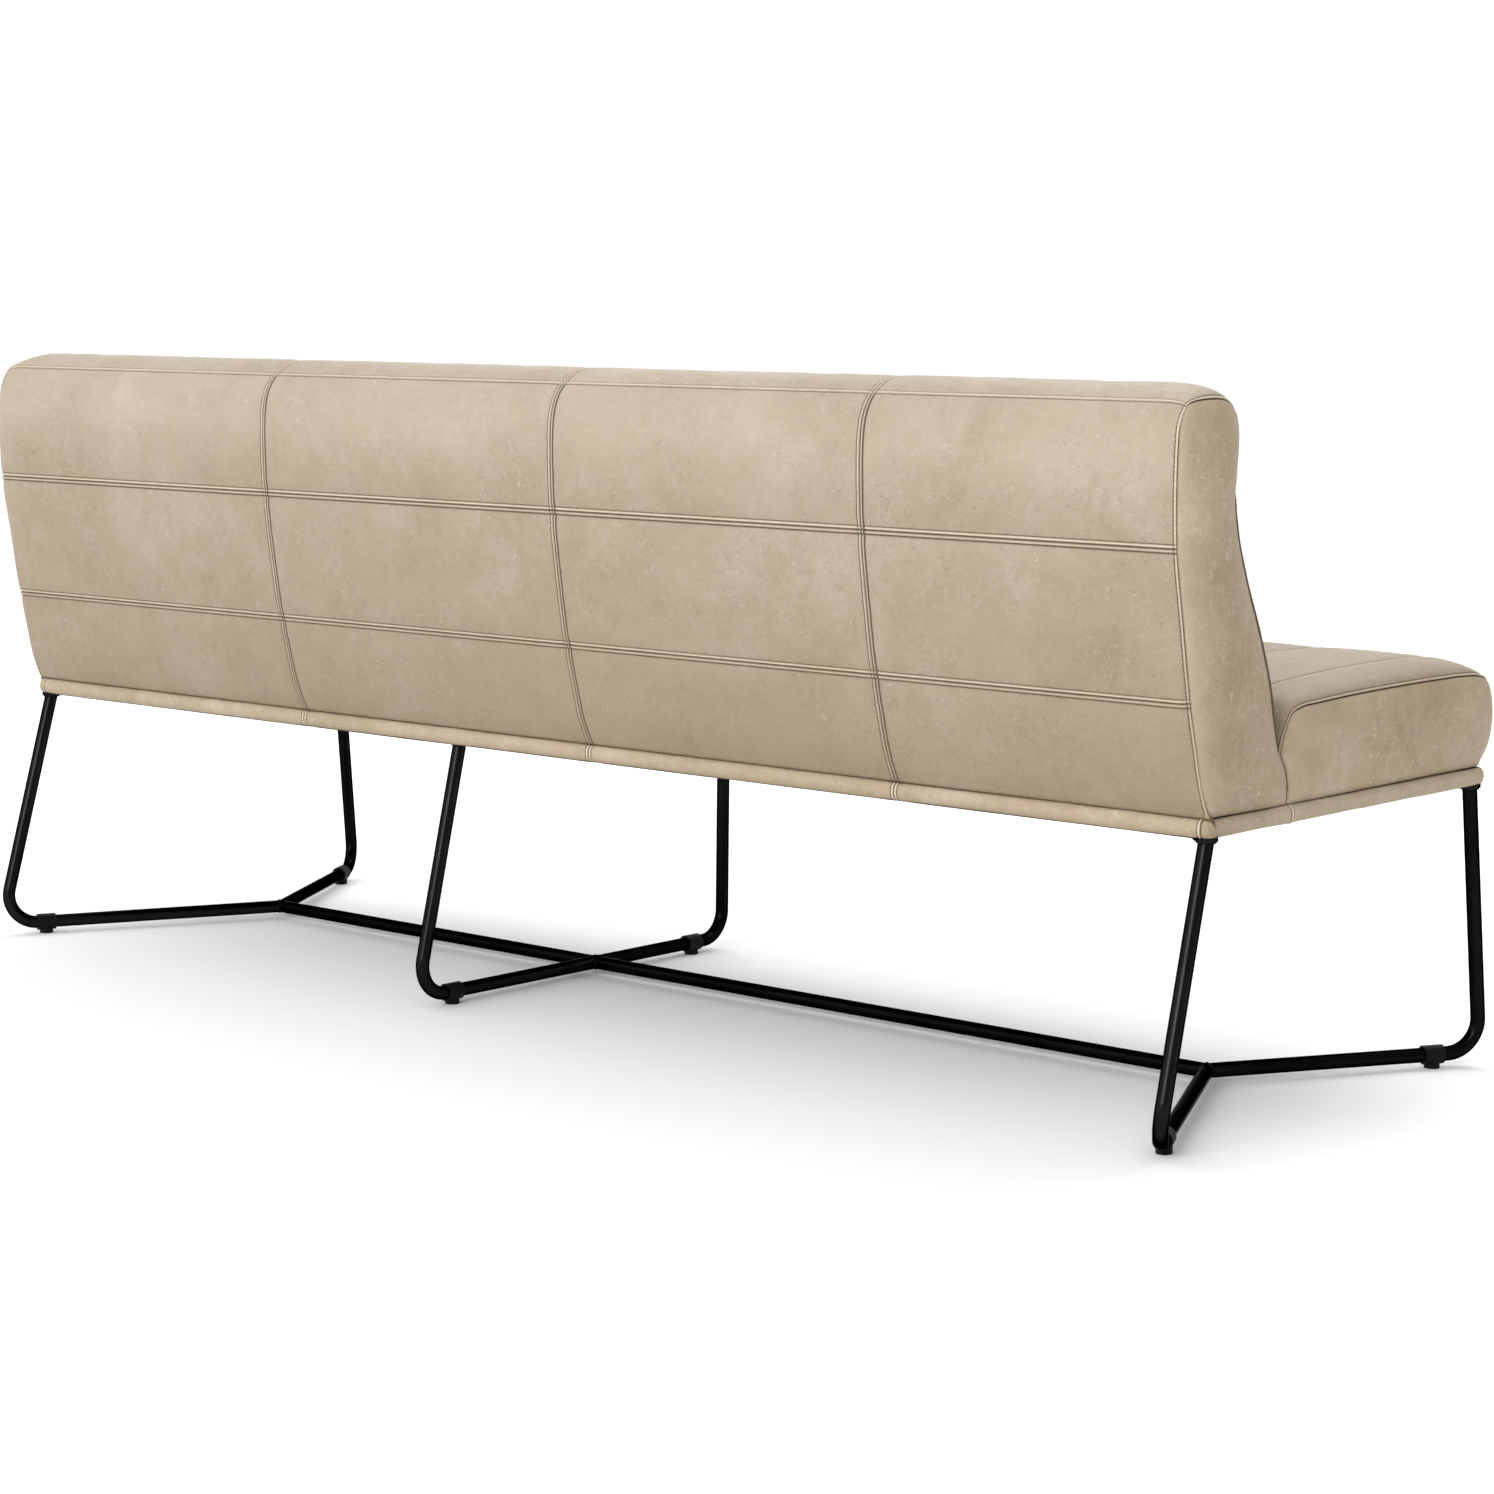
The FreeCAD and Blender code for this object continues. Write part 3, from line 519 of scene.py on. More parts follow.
rear = Wrap(back_prof, BACK, BACK_END, BACK_TURN, 0.0, S_TOP,
            [(S_BAND, [0, .4, .8, 1.2, 1.7, 2.6, 4, 6, 9]), (S_ROW2, DOUBLE), (S_ROW1, DOUBLE), (S_TOP, EDGE)],
            [(x, DOUBLE) for x in COLUMNS], flare=back_flare)
ss, cc = np.meshgrid(rear.s, rear.c, indexing="ij")
us, vs = rear.coarse([S_BAND, S_ROW2, S_ROW1], COLUMNS)
pin = np.zeros((len(us), len(vs)), bool)
pin[[0, -1]] = True
pin[:, [0, -1]] = True
for k in (S_ROW2, S_ROW1):
    pin[np.argmin(abs(us - k))] = True
pin[us <= S_BAND + .1] = True
for k in COLUMNS:
    pin[:, np.argmin(abs(vs - k))] = True
crown = swell("rear_swell", us, vs, rear.base(us, vs), pin, 3.6)
h = interp_rows(us, interp_rows(vs, crown.T, rear.c).T, rear.s)
seam, lip_highlight = np.zeros_like(h), np.zeros_like(h)
nearest = np.full_like(h, 1e3)
# column seams: the heavier stitch line on one side is painted shade, and the lips get a painted highlight, a little
# stronger on one side
for k, x in enumerate(COLUMNS):
    d = cc - x
    h += double_h(d) + puckers(ss, np.abs(d), 11 + k)
    seam, lip_highlight = np.maximum(seam, double_dark(d, 1.25, .84, .95, 1.30)), np.maximum(lip_highlight, np.where(d > 0, .55, .62) * double_lip_highlight(d))
    nearest = np.minimum(nearest, np.abs(d))
# row seams: the stitch line below each seam is the heaviest, painted shade as under light from above, and the upper lip
# gets the stronger painted highlight
for k, (s, mid, above, below) in enumerate(((S_ROW2, .86, 1.0, .55), (S_ROW1, .72, .85, .45))):
    d = ss - s
    h += double_h(d) - .9 * bell(np.minimum(d + 5.2, 0), 9.0) * (d < -5.2) - .9 * np.clip((-d - 4.2), 0, 1) * (d >= -5.2) + puckers(cc, np.abs(d), 21 + k)
    seam, lip_highlight = np.maximum(seam, double_dark(d, 1.06, .40, mid, 1.05)), np.maximum(lip_highlight, np.where(d > 0, above, below) * double_lip_highlight(d))
    nearest = np.minimum(nearest, np.abs(d))
d = S_TOP - ss
h += edge_h(d, False) + puckers(cc, d, 31)
seam = np.maximum(seam, .88 * bell(d, .55))
nearest = np.minimum(nearest, d)
d = rear.gap
h += edge_h(d, True) + puckers(ss, d, 32)
seam, lip_highlight = np.maximum(seam, edge_dark(d, True)), np.maximum(lip_highlight, .78 * bell(d - 2.4, 1.2))
nearest = np.minimum(nearest, d)
d = ss - S_BAND
h += -2.0 * bell(np.maximum(d, 0), 3.1) * (d > -40)
# dark line where the back tucks into the band: seam colour plus painted crevice shade
seam = np.maximum(seam, 1.05 * bell(np.maximum(d - .7, 0), .90))
nearest = np.minimum(nearest, np.abs(d))
h += wear(ss, cc, 41) * .55 * np.clip(nearest / 22, 0, 1)
rear_cover = rear.build("back_rear_cushion", h, {"seam": seam, "lip_highlight": lip_highlight})

rear_thread = Thread()
for x in COLUMNS:
    for o in (-STITCH_OFF, STITCH_OFF):
        wrap_rows(rear_thread, rear, c_fixed=x + o, lo=S_BAND + 3, hi=S_TOP - 1)
for s in (S_ROW2, S_ROW1):
    for o in (-STITCH_OFF, STITCH_OFF):
        wrap_rows(rear_thread, rear, s_fixed=s + o, lo=rear.c[0] + 2, hi=rear.c[-1] - 2)
for sg in (-1, 1):
    rear_thread.row(*rear.beside_end(sg, STITCH_OFF, S_BAND + 3, S_TOP - 1))

# ------------------------------------------------------------------ back, top and sitting side
front = Wrap(back_prof, BACK, BACK_END, BACK_TURN, S_TOP, back_prof.length,
             [(S_TOP, EDGE), (S_WAIST, DOUBLE), (S_CREASE, [0, 2, 4, 7])],
             [(x, DOUBLE) for x in COLUMNS] + [(x, CHANNEL) for x in CHANNELS], x_step=9.0)
ss, cc = np.meshgrid(front.s, front.c, indexing="ij")
us, vs = front.coarse([S_WAIST, S_CREASE], COLUMNS + CHANNELS)
pin = np.zeros((len(us), len(vs)), bool)
pin[[0, -1]] = True
pin[:, [0, -1]] = True
pin[us >= S_CREASE - .1] = True
pin[np.argmin(abs(us - S_WAIST))] = True
for k in COLUMNS:
    pin[us <= S_WAIST, np.argmin(abs(vs - k))] = True
for k in CHANNELS:
    pin[us >= S_WAIST, np.argmin(abs(vs - k))] = True
crown = swell("front_swell", us, vs, front.base(us, vs), pin, 5.0)
crown[us <= S_WAIST] *= .55
h = interp_rows(us, interp_rows(vs, crown.T, front.c).T, front.s)
seam, lip_highlight = np.zeros_like(h), np.zeros_like(h)
nearest = np.full_like(h, 1e3)
high = 1.0 / (1.0 + np.exp(np.clip((ss - S_WAIST) / .25, -60, 60)))
# column seams on the sitting side: the heavier line on one side is painted shade
for k, x in enumerate(COLUMNS):
    d = cc - x
    h += (double_h(d) + puckers(ss, np.abs(d), 51 + k)) * high
    seam, lip_highlight = np.maximum(seam, double_dark(d, .92, .40, .60) * high), np.maximum(lip_highlight, .8 * double_lip_highlight(d) * high)
    nearest = np.minimum(nearest, np.where(high > .5, np.abs(d), 1e3))
for k, x in enumerate(CHANNELS):
    d = cc - x
    h += (channel_h(d) + puckers(ss, np.abs(d), 61 + k)) * (1 - high)
    seam = np.maximum(seam, channel_dark(d) * (1 - high))
    nearest = np.minimum(nearest, np.where(high > .5, 1e3, np.abs(d)))
d = ss - S_WAIST
h += .65 * double_h(d) - .5 * bell(d, 10) + puckers(cc, np.abs(d), 81)
seam, lip_highlight = np.maximum(seam, double_dark(d)), np.maximum(lip_highlight, double_lip_highlight(d))
nearest = np.minimum(nearest, np.abs(d))
d = ss - S_TOP
h += edge_h(d, True) + puckers(cc, d, 82)
seam, lip_highlight = np.maximum(seam, np.maximum(bell(d, .6), .16 * bell(d - STITCH_OFF, .5))), np.maximum(lip_highlight, .6 * bell(d - 2.4, 1.2))
nearest = np.minimum(nearest, d)
d = front.gap
h += edge_h(d, True) + puckers(ss, d, 83)
seam, lip_highlight = np.maximum(seam, edge_dark(d, True)), np.maximum(lip_highlight, .78 * bell(d - 2.4, 1.2))
nearest = np.minimum(nearest, d)
h += wear(ss, cc, 91) * .55 * np.clip(nearest / 22, 0, 1)
front_cover = front.build("back_front_cushion", h, {"seam": seam, "lip_highlight": lip_highlight})

front_thread, pale_thread = Thread(), Thread()
for x in COLUMNS:
    for o in (-STITCH_OFF, STITCH_OFF):
        wrap_rows(front_thread, front, c_fixed=x + o, lo=S_TOP + 1, hi=S_WAIST - 1)
for x in CHANNELS:
    wrap_rows(front_thread, front, c_fixed=x, lo=S_WAIST + 2, hi=S_CREASE + 2)
for o in (-STITCH_OFF, STITCH_OFF):
    wrap_rows(front_thread, front, s_fixed=S_WAIST + o, lo=front.c[0] + 2, hi=front.c[-1] - 2)
wrap_rows(pale_thread, front, s_fixed=S_TOP + STITCH_OFF, lo=front.c[0] + 2, hi=front.c[-1] - 2)
for sg in (-1, 1):
    front_thread.row(*front.beside_end(sg, STITCH_OFF, S_TOP + 1, S_CREASE))

# ------------------------------------------------------------------ seat
Q_CREASE = seat_prof.s_at(121.5, 425)
Q_NOSE = seat_prof.s_at(-340, 430)
Q_BAND = seat_prof.s_at(-312, 367)

seat = Wrap(seat_prof, SEAT, SEAT_END, SEAT_TURN, 0.0, seat_prof.length,
            [(Q_CREASE, [0, 2, 4, 7]), (Q_BAND, [0, .8, 1.6, 2.6, 4, 6, 9])],
            [(x, CHANNEL) for x in CHANNELS], x_step=9.0)
ss, cc = np.meshgrid(seat.s, seat.c, indexing="ij")
us, vs = seat.coarse([Q_CREASE, Q_BAND], CHANNELS)
pin = np.zeros((len(us), len(vs)), bool)
pin[[0, -1]] = True
pin[:, [0, -1]] = True
pin[us <= Q_CREASE + .1] = True
pin[us >= Q_BAND - .1] = True
for k in CHANNELS:
    pin[:, np.argmin(abs(vs - k))] = True
crown = swell("seat_swell", us, vs, seat.base(us, vs), pin, 2.1)
h = interp_rows(us, interp_rows(vs, crown.T, seat.c).T, seat.s)
seam, lip_highlight = np.zeros_like(h), np.zeros_like(h)
nearest = np.full_like(h, 1e3)
for k, x in enumerate(CHANNELS):
    d = cc - x
    h += .72 * channel_h(d) + puckers(ss, np.abs(d), 111 + k)
    seam = np.maximum(seam, channel_dark(d))
    nearest = np.minimum(nearest, np.abs(d))
d = seat.gap
h += edge_h(d, True) + puckers(ss, d, 131)
seam, lip_highlight = np.maximum(seam, edge_dark(d, True)), np.maximum(lip_highlight, .78 * bell(d - 2.4, 1.2))
nearest = np.minimum(nearest, d)
d = Q_BAND - ss
h += -2.5 * bell(np.maximum(d, 0), 4.5)
# dark line where the seat tucks into the band: seam colour plus painted crevice shade
seam = np.maximum(seam, .97 * bell(np.maximum(d - .3, 0), .95))
nearest = np.minimum(nearest, np.abs(d))
h += wear(ss, cc, 141) * .6 * np.clip(nearest / 22, 0, 1)
seat_cover = seat.build("seat_cushion", h, {"seam": seam, "lip_highlight": lip_highlight})

seat_thread = Thread()
for x in CHANNELS:
    wrap_rows(seat_thread, seat, c_fixed=x, lo=Q_CREASE + 2, hi=Q_BAND - 3)
for sg in (-1, 1):
    seat_thread.row(*seat.beside_end(sg, STITCH_OFF, Q_CREASE + 2, Q_BAND - 3))


# ------------------------------------------------------------------ end panels
def resample(p, n_or_t):
    ln = np.r_[0, np.cumsum(np.linalg.norm(np.diff(p, axis=0), axis=1))]
    t = np.linspace(0, 1, n_or_t) if isinstance(n_or_t, int) else n_or_t
    return np.stack([np.interp(t * ln[-1], ln, p[:, k]) for k in range(p.shape[1])], -1)


def patch(bottom, top, side0, side1, us, vs):
    """Fill between four outline curves: bottom and top run in u, the sides in v."""
    b, t, l, r = resample(bottom, us), resample(top, us), resample(side0, vs), resample(side1, vs)
    u, v = us[:, None, None], vs[None, :, None]
    return ((1 - v) * b[:, None] + v * t[:, None] + (1 - u) * l[None] + u * r[None]
            - ((1 - u) * (1 - v) * b[0] + u * (1 - v) * b[-1] + (1 - u) * v * t[0] + u * v * t[-1]))


def edge_samples(width, step):
    marks = [0, .35, .7, 1.1, 1.6, 2.3, 3.2, 4.4, 6, 8, 10.5]
    mid = np.linspace(10.5, width - 10.5, max(3, int((width - 21) / step)))
    got = np.unique(np.round(np.r_[marks, mid, [width - m for m in marks]], 4))
    return got / width


def gap_to(points, outline):
    q = points.reshape(-1, 2)
    best = np.full(len(q), 1e9)
    a, b = outline[:-1], outline[1:]
    ab = b - a
    l2 = np.maximum((ab ** 2).sum(1), 1e-12)
    for k in range(0, len(q), 1500):
        w = q[k:k + 1500, None] - a[None]
        t = np.clip((w * ab[None]).sum(-1) / l2[None], 0, 1)
        dd = np.linalg.norm(w - t[..., None] * ab[None], axis=-1).min(1)
        best[k:k + 1500] = dd
    return best.reshape(points.shape[:2])


def end_panel(name, bottom, top, side0, side1, sign, bulge, seed, edge_light_strength):
    width = float(np.linalg.norm(np.diff(resample(bottom, 40), axis=0), axis=1).sum() + np.linalg.norm(np.diff(resample(top, 40), axis=0), axis=1).sum()) / 2
    tall = float(np.linalg.norm(np.diff(resample(side0, 40), axis=0), axis=1).sum() + np.linalg.norm(np.diff(resample(side1, 40), axis=0), axis=1).sum()) / 2
    us, vs = edge_samples(width, 6.0), edge_samples(tall, 6.0)
    yz = patch(bottom, top, side0, side1, us, vs)
    outline = np.concatenate([resample(bottom, 160), resample(side1, 160)[1:], resample(top, 160)[::-1][1:], resample(side0, 160)[::-1][1:]])
    gap = gap_to(yz, outline)
    cu, cv = np.linspace(0, 1, max(9, int(width / 11))), np.linspace(0, 1, max(9, int(tall / 11)))
    cyz = patch(bottom, top, side0, side1, cu, cv)
    grid = np.concatenate([np.full(cyz.shape[:2] + (1,), END_X), cyz], -1)
    pin = np.zeros(cyz.shape[:2], bool)
    pin[[0, -1]] = True
    pin[:, [0, -1]] = True
    nn = normals_of(grid)
    flip = nn[len(cu) // 2, len(cv) // 2, 0] < 0
    w = swell(name + "_swell", cu * width, cv * tall, grid[:, ::-1] if flip else grid, pin, 1.0)
    if flip:
        w = w[:, ::-1]
    w = interp_rows(cu, interp_rows(cv, w.T, vs).T, us)
    out = bulge * (.24 * (1 - np.exp(-gap / 8.0)) + .60 * (1 - np.exp(-gap / 29.0)) + .16 * np.clip(w, 0, 1.2))
    out += -2.6 * bell(gap, .8) + wear(yz[..., 0], yz[..., 1], seed) * .6 * np.clip(gap / 25, 0, 1)
    out += puckers(yz[..., 0] + yz[..., 1], gap, seed + 5)
    x = sign * (END_X + out)
    outer = np.concatenate([x[..., None], yz], -1)
    mid = yz.mean((0, 1))
    shrink = np.clip(1 - 3.0 / np.maximum(np.linalg.norm(yz - mid, axis=-1, keepdims=True), 3.1), 0, 1)
    inner = np.concatenate([np.full_like(x, sign * (END_X - 6.0))[..., None], mid + (yz - mid) * shrink], -1)
    seam = bell(gap, .85)
    # painted highlight along the end panel's rear edge, where it rolls round towards the light
    painted_edge_light = edge_light_strength * np.exp(-gap_to(yz, resample(side0, 160)) / 21.0)
    c = (outer.shape[0] // 2, outer.shape[1] // 2)
    face = np.cross(outer[c[0] + 1, c[1]] - outer[c], outer[c[0], c[1] + 1] - outer[c])[0] * sign
    if face < 0:
        outer, inner, seam, painted_edge_light = outer[:, ::-1], inner[:, ::-1], seam[:, ::-1], painted_edge_light[:, ::-1]
    return shell(name, outer, inner, {"seam": seam, "lip_highlight": np.zeros_like(seam), "painted_edge_light": painted_edge_light})


def end_line(wrap, lo, hi):
    return wrap.end_at(np.arange(lo, hi, 2.0))


S_SHOULDER = S_TOP - 6.0
S_BROW = back_prof.s_at(219.5, 809) - 4.0
SIDE_SEAM = np.array([[118.0, 419.0], [111.5, 410.0], [108.0, 398.0], [107.0, 385.0], [108.5, 366.0]])
rear_edge = end_line(rear, S_BAND - 1, S_SHOULDER)
over = end_line(rear, S_SHOULDER, S_BROW)
front_edge = np.concatenate([end_line(front, S_BROW, S_CREASE), SIDE_SEAM])
back_floor = np.array([rear_edge[0], front_edge[-1]])
Q_HEEL = seat_prof.s_at(96, 480)
Q_BROW = seat_prof.s_at(-325, 475)
seat_rear = np.concatenate([SIDE_SEAM[::-1], end_line(seat, Q_CREASE, Q_HEEL)])
seat_top = end_line(seat, Q_HEEL, Q_BROW)
seat_nose = end_line(seat, Q_BROW, Q_BAND + 1)[::-1]
seat_floor = np.array([seat_rear[0], seat_nose[0]])
panels = []
for side, sg in (("left", -1), ("right", 1)):
    panels.append(("back_side_panel_" + side, end_panel("back_end_pad_" + side, back_floor, over, rear_edge, front_edge[::-1], sg, 15.0, 151, 1.0)))
    panels.append(("seat_side_panel_" + side, end_panel("seat_end_pad_" + side, seat_floor, seat_top, seat_rear, seat_nose, sg, 14.0, 171, .6)))

# ------------------------------------------------------------------ base band
BX, BY0, BY1, BR = 1022.0, -320.5, 268.0, 12.0


def band_path():
    """Closed way round the bench's foot edge; starts at the middle of the rear."""
    pts = []

    def arc(cx, cy, a0):
        for a in np.linspace(a0, a0 + np.pi / 2, 15):
            pts.append((cx + BR * math.cos(a), cy + BR * math.sin(a)))
    pts.append((0.0, BY1))
    arc(-BX + BR, BY1 - BR, np.pi / 2)
    arc(-BX + BR, BY0 + BR, np.pi)
    arc(BX - BR, BY0 + BR, 1.5 * np.pi)
    arc(BX - BR, BY1 - BR, 2 * np.pi)
    pts.append((0.0, BY1))
    return np.array(pts)


bp = band_path()
bl = np.r_[0, np.cumsum(np.linalg.norm(np.diff(bp, axis=0), axis=1))]
L = bl[-1]


def band_at(x, y):
    q = np.stack([np.interp(np.linspace(0, L, 40000), bl, bp[:, k]) for k in range(2)], -1)
    return float(np.linspace(0, L, 40000)[np.argmin((q[:, 0] - x) ** 2 + (q[:, 1] - y) ** 2)])


marks_double = [band_at(x, BY1) for x in COLUMNS]
marks_single = [(band_at(-1009.0, BY1), -1), (band_at(1009.0, BY1), 1), (band_at(-BX, 108.0), 1), (band_at(BX, 108.0), -1)]
corner_s = [band_at(cx, cy) for cx in (-BX + 5, BX - 5) for cy in (BY0 + 5, BY1 - 5)]
bs = spread_samples(0, L, 9.0, [(m, DOUBLE) for m in marks_double] + [(m, DOUBLE) for m, _ in marks_single]
                    + [(c, [0, 1.5, 3, 4.5, 6, 7.5, 9, 10.5, 12, 13.5, 15, 17]) for c in corner_s])[:-1]
SECTION = [(-13.5, 348.5), (-7.5, 346.6), (-3.4, 347.4), (-1.0, 350.3), (0.1, 355.0), (0.0, 359.5), (-1.3, 363.6), (-3.8, 366.4), (-7.0, 367.4), (-10.5, 366.6), (-13.5, 364.0)]
sec = np.array(SECTION)
st_ = np.r_[0, np.cumsum(np.linalg.norm(np.diff(sec, axis=0), axis=1))]
tt = np.linspace(0, st_[-1], 30)
sec = np.stack([natural_cubic(st_, sec[:, 0], tt), natural_cubic(st_, sec[:, 1], tt)], -1)
mid_sec = np.array([-8.0, 357.0])
cx_, cy_ = np.interp(bs, bl, bp[:, 0]), np.interp(bs, bl, bp[:, 1])
dense = np.linspace(0, L, 12000, endpoint=False)
tx = np.interp(dense + 3, bl, bp[:, 0], period=L) - np.interp(dense - 3, bl, bp[:, 0], period=L)
ty = np.interp(dense + 3, bl, bp[:, 1], period=L) - np.interp(dense - 3, bl, bp[:, 1], period=L)
tn = np.hypot(tx, ty)
ox_, oy_ = np.interp(bs, dense, ty / tn, period=L), np.interp(bs, dense, -tx / tn, period=L)
if oy_[0] < 0:
    ox_, oy_ = -ox_, -oy_
# band seams: dark seam lines, with a painted highlight on their lips
bseam, band_lip_highlight = np.zeros(len(bs)), np.zeros(len(bs))
bh = .35 * soft_noise(bs, bs * 0, 45, 45, 201) + .25 * soft_noise(bs, bs * 0, 17, 17, 202)
for m in marks_double:
    d = bs - m
    bh += .8 * double_h(d)
    bseam, band_lip_highlight = np.maximum(bseam, double_dark(d)), np.maximum(band_lip_highlight, double_lip_highlight(d))
for m, way in marks_single:
    d = bs - m
    one = np.where(d * way < 2.0, bell(d, .75), 0)
    stitch = bell(d * way - STITCH_OFF, .6)
    bh += -2.0 * bell(d, .75) + .75 * bell(d * way - 2.4, 1.2) - .6 * stitch
    bseam, band_lip_highlight = np.maximum(bseam, np.maximum(bell(d, .8), .6 * stitch)), np.maximum(band_lip_highlight, bell(d * way - 2.4, 1.1))
away = sec - mid_sec
away = away / np.linalg.norm(away, axis=1)[:, None]
face = np.clip((sec[:, 0] + 12.5) / 5.0, 0, 1)
po = sec[None, :, 0] + bh[:, None] * away[None, :, 0] * face[None]
pz = sec[None, :, 1] + bh[:, None] * away[None, :, 1] * face[None]
band_pts = np.stack([cx_[:, None] + ox_[:, None] * po, cy_[:, None] + oy_[:, None] * po, pz], -1)
nb, ns = band_pts.shape[:2]
band_faces = []
for i in range(nb):
    for j in range(ns):
        a, b = i * ns + j, i * ns + (j + 1) % ns
        c, e = ((i + 1) % nb) * ns + (j + 1) % ns, ((i + 1) % nb) * ns + j
        band_faces.append([a, b, c, e])
# painted shade in the crease along the top of the band, where the panels tuck in
band_crease_shade = np.clip((sec[:, 1] - 365.9) / 1.2, 0, 1) * np.clip((-sec[:, 0] - 4.6) / 2.0, 0, 1)
band_seam_and_shade = np.maximum(bseam[:, None] * face[None], band_crease_shade[None] * np.ones((nb, 1)))
v0, v1, v3 = band_pts[0, 5], band_pts[0, 6], band_pts[1, 5]
if np.dot(np.cross(v1 - v0, v3 - v0), [ox_[0], oy_[0], 0]) < 0:
    band_faces = [f[::-1] for f in band_faces]
band = new_object("base_band_roll", band_pts.reshape(-1, 3), band_faces, {"seam": band_seam_and_shade, "lip_highlight": np.repeat(band_lip_highlight[:, None], ns, 1)})

band_thread = Thread()
bn = np.stack([ox_[:, None] * away[None, :, 0], oy_[:, None] * away[None, :, 0], np.ones((nb, 1)) * away[None, :, 1]], -1)
for places in [[m + o for m in marks_double for o in (-STITCH_OFF, STITCH_OFF)] + [m + w * STITCH_OFF for m, w in marks_single]]:
    for m in places:
        i = int(np.argmin(abs(bs - m)))
        use = np.flatnonzero((face > .6) & (sec[:, 1] > 347))
        band_thread.row(band_pts[i, use], bn[i, use], pitch=4.6, run=3.6)

# ------------------------------------------------------------------ weld beads of the tube base
class Bead:
    def __init__(self):
        self.v, self.f, self.count = [], [], 0

    def along(self, pts, rad, closed, seed):
        pts = np.asarray(pts, float)
        n = len(pts)
        t = np.roll(pts, -1, 0) - np.roll(pts, 1, 0) if closed else np.gradient(pts, axis=0)
        t /= np.linalg.norm(t, axis=1)[:, None]
        ref = np.tile(np.array([0, 0, 1.0]), (n, 1))
        ref[np.abs(t[:, 2]) > .9] = (1.0, .2, 0)
        a = np.cross(t, ref)
        a /= np.linalg.norm(a, axis=1)[:, None]
        b = np.cross(t, a)
        ln = np.r_[0, np.cumsum(np.linalg.norm(np.diff(pts, axis=0), axis=1))]
        r = rad * (1 + .16 * np.sin(ln * 2 * np.pi / 2.2) + .08 * soft_noise(ln, ln * 0, 4, 4, seed))
        if not closed:
            r *= np.clip(np.minimum(np.arange(n), np.arange(n)[::-1]) / 3.0 + .35, 0, 1)
        ang = np.arange(8) * np.pi / 4
        ring = pts[:, None] + r[:, None, None] * (np.cos(ang)[None, :, None] * a[:, None] + np.sin(ang)[None, :, None] * b[:, None])
        base = self.count
        for i in range(n if closed else n - 1):
            for k in range(8):
                j = (i + 1) % n
                self.f.append([base + i * 8 + k, base + i * 8 + (k + 1) % 8, base + j * 8 + (k + 1) % 8, base + j * 8 + k])
        if not closed:
            self.f.append([base + k for k in range(7, -1, -1)])
            self.f.append([base + (n - 1) * 8 + k for k in range(8)])
        self.v.append(ring.reshape(-1, 3))
        self.count += n * 8


beads = Bead()
R, ZT = 9.0, 16.0
legs = []
for sx in (-1, 1):
    legs += [((sx * 1007.0, 253.0), (sx * 1012.0, 346.0)), ((sx * 1007.0, -305.0), (sx * 1012.0, -335.6))]
legs += [((177.0, 231.0), (177.0, 312.0)), ((177.0, -286.0), (177.0, -282.0))]
for k, ((tx_, ty_), (fx, fy)) in enumerate(legs):
    axis = np.array([tx_ - fx, ty_ - fy, 343.0 - ZT])
    axis /= np.linalg.norm(axis)
    ang = np.linspace(0, 2 * np.pi, 72, endpoint=False)
    ux = np.cross(axis, [0, 1, 0]); ux /= np.linalg.norm(ux)
    uy = np.cross(axis, ux)
    ring = ux[None] * np.cos(ang)[:, None] * (R + .5) + uy[None] * np.sin(ang)[:, None] * (R + .5)
    ring = ring - axis[None] * (ring[:, 2] / axis[2])[:, None]
    ring = ring + np.array([tx_, ty_, 342.2])
    beads.along(ring, 1.9, True, 300 + k)


def junction(cx, cy, ways, seed):
    ways = [np.array(w, float) / np.linalg.norm(w) for w in ways]
    ways.sort(key=lambda w: math.atan2(w[1], w[0]))
    for k, a in enumerate(ways):
        b = ways[(k + 1) % len(ways)]
        bis = a + b
        bis /= np.linalg.norm(bis)
        half = math.acos(np.clip(a @ b, -1, 1)) / 2
        ph = np.linspace(-np.pi / 2 + .25, np.pi / 2 - .05, 40)
        p = np.stack([cx + bis[0] * R * np.cos(ph) / math.sin(half), cy + bis[1] * R * np.cos(ph) / math.sin(half), ZT + R * np.sin(ph)], -1)
        beads.along(p, 1.5, False, seed + k)


for sx in (-1, 1):
    junction(sx * 827.0, -23.0, [(sx * 185.0, 369.0), (sx * 185.0, -312.6), (-sx, 0)], 320 + sx * 3)
junction(177.0, -23.0, [(1, 0), (-1, 0), (0, 1), (0, -1)], 340)
weld = new_object("weld_beads", np.concatenate(beads.v), beads.f)


# ------------------------------------------------------------------ materials
def start(name):
    m = bpy.data.materials.new(name)
    m.use_nodes = True
    nt = m.node_tree
    nt.nodes.clear()
    out = nt.nodes.new("ShaderNodeOutputMaterial")
    b = nt.nodes.new("ShaderNodeBsdfPrincipled")
    nt.links.new(b.outputs["BSDF"], out.inputs["Surface"])
    co = nt.nodes.new("ShaderNodeTexCoord").outputs["Object"]
    return m, nt, b, co


def setv(nt, sock, v):
    if isinstance(v, bpy.types.NodeSocket):
        nt.links.new(v, sock)
    else:
        sock.default_value = v


def noise(nt, co, scale, detail=3.0, rough=.55, dist=0.0):
    n = nt.nodes.new("ShaderNodeTexNoise")
    nt.links.new(co, n.inputs["Vector"])
    n.inputs["Scale"].default_value = scale
    n.inputs["Detail"].default_value = detail
    n.inputs["Roughness"].default_value = rough
    n.inputs["Distortion"].default_value = dist
    return n.outputs["Fac"]


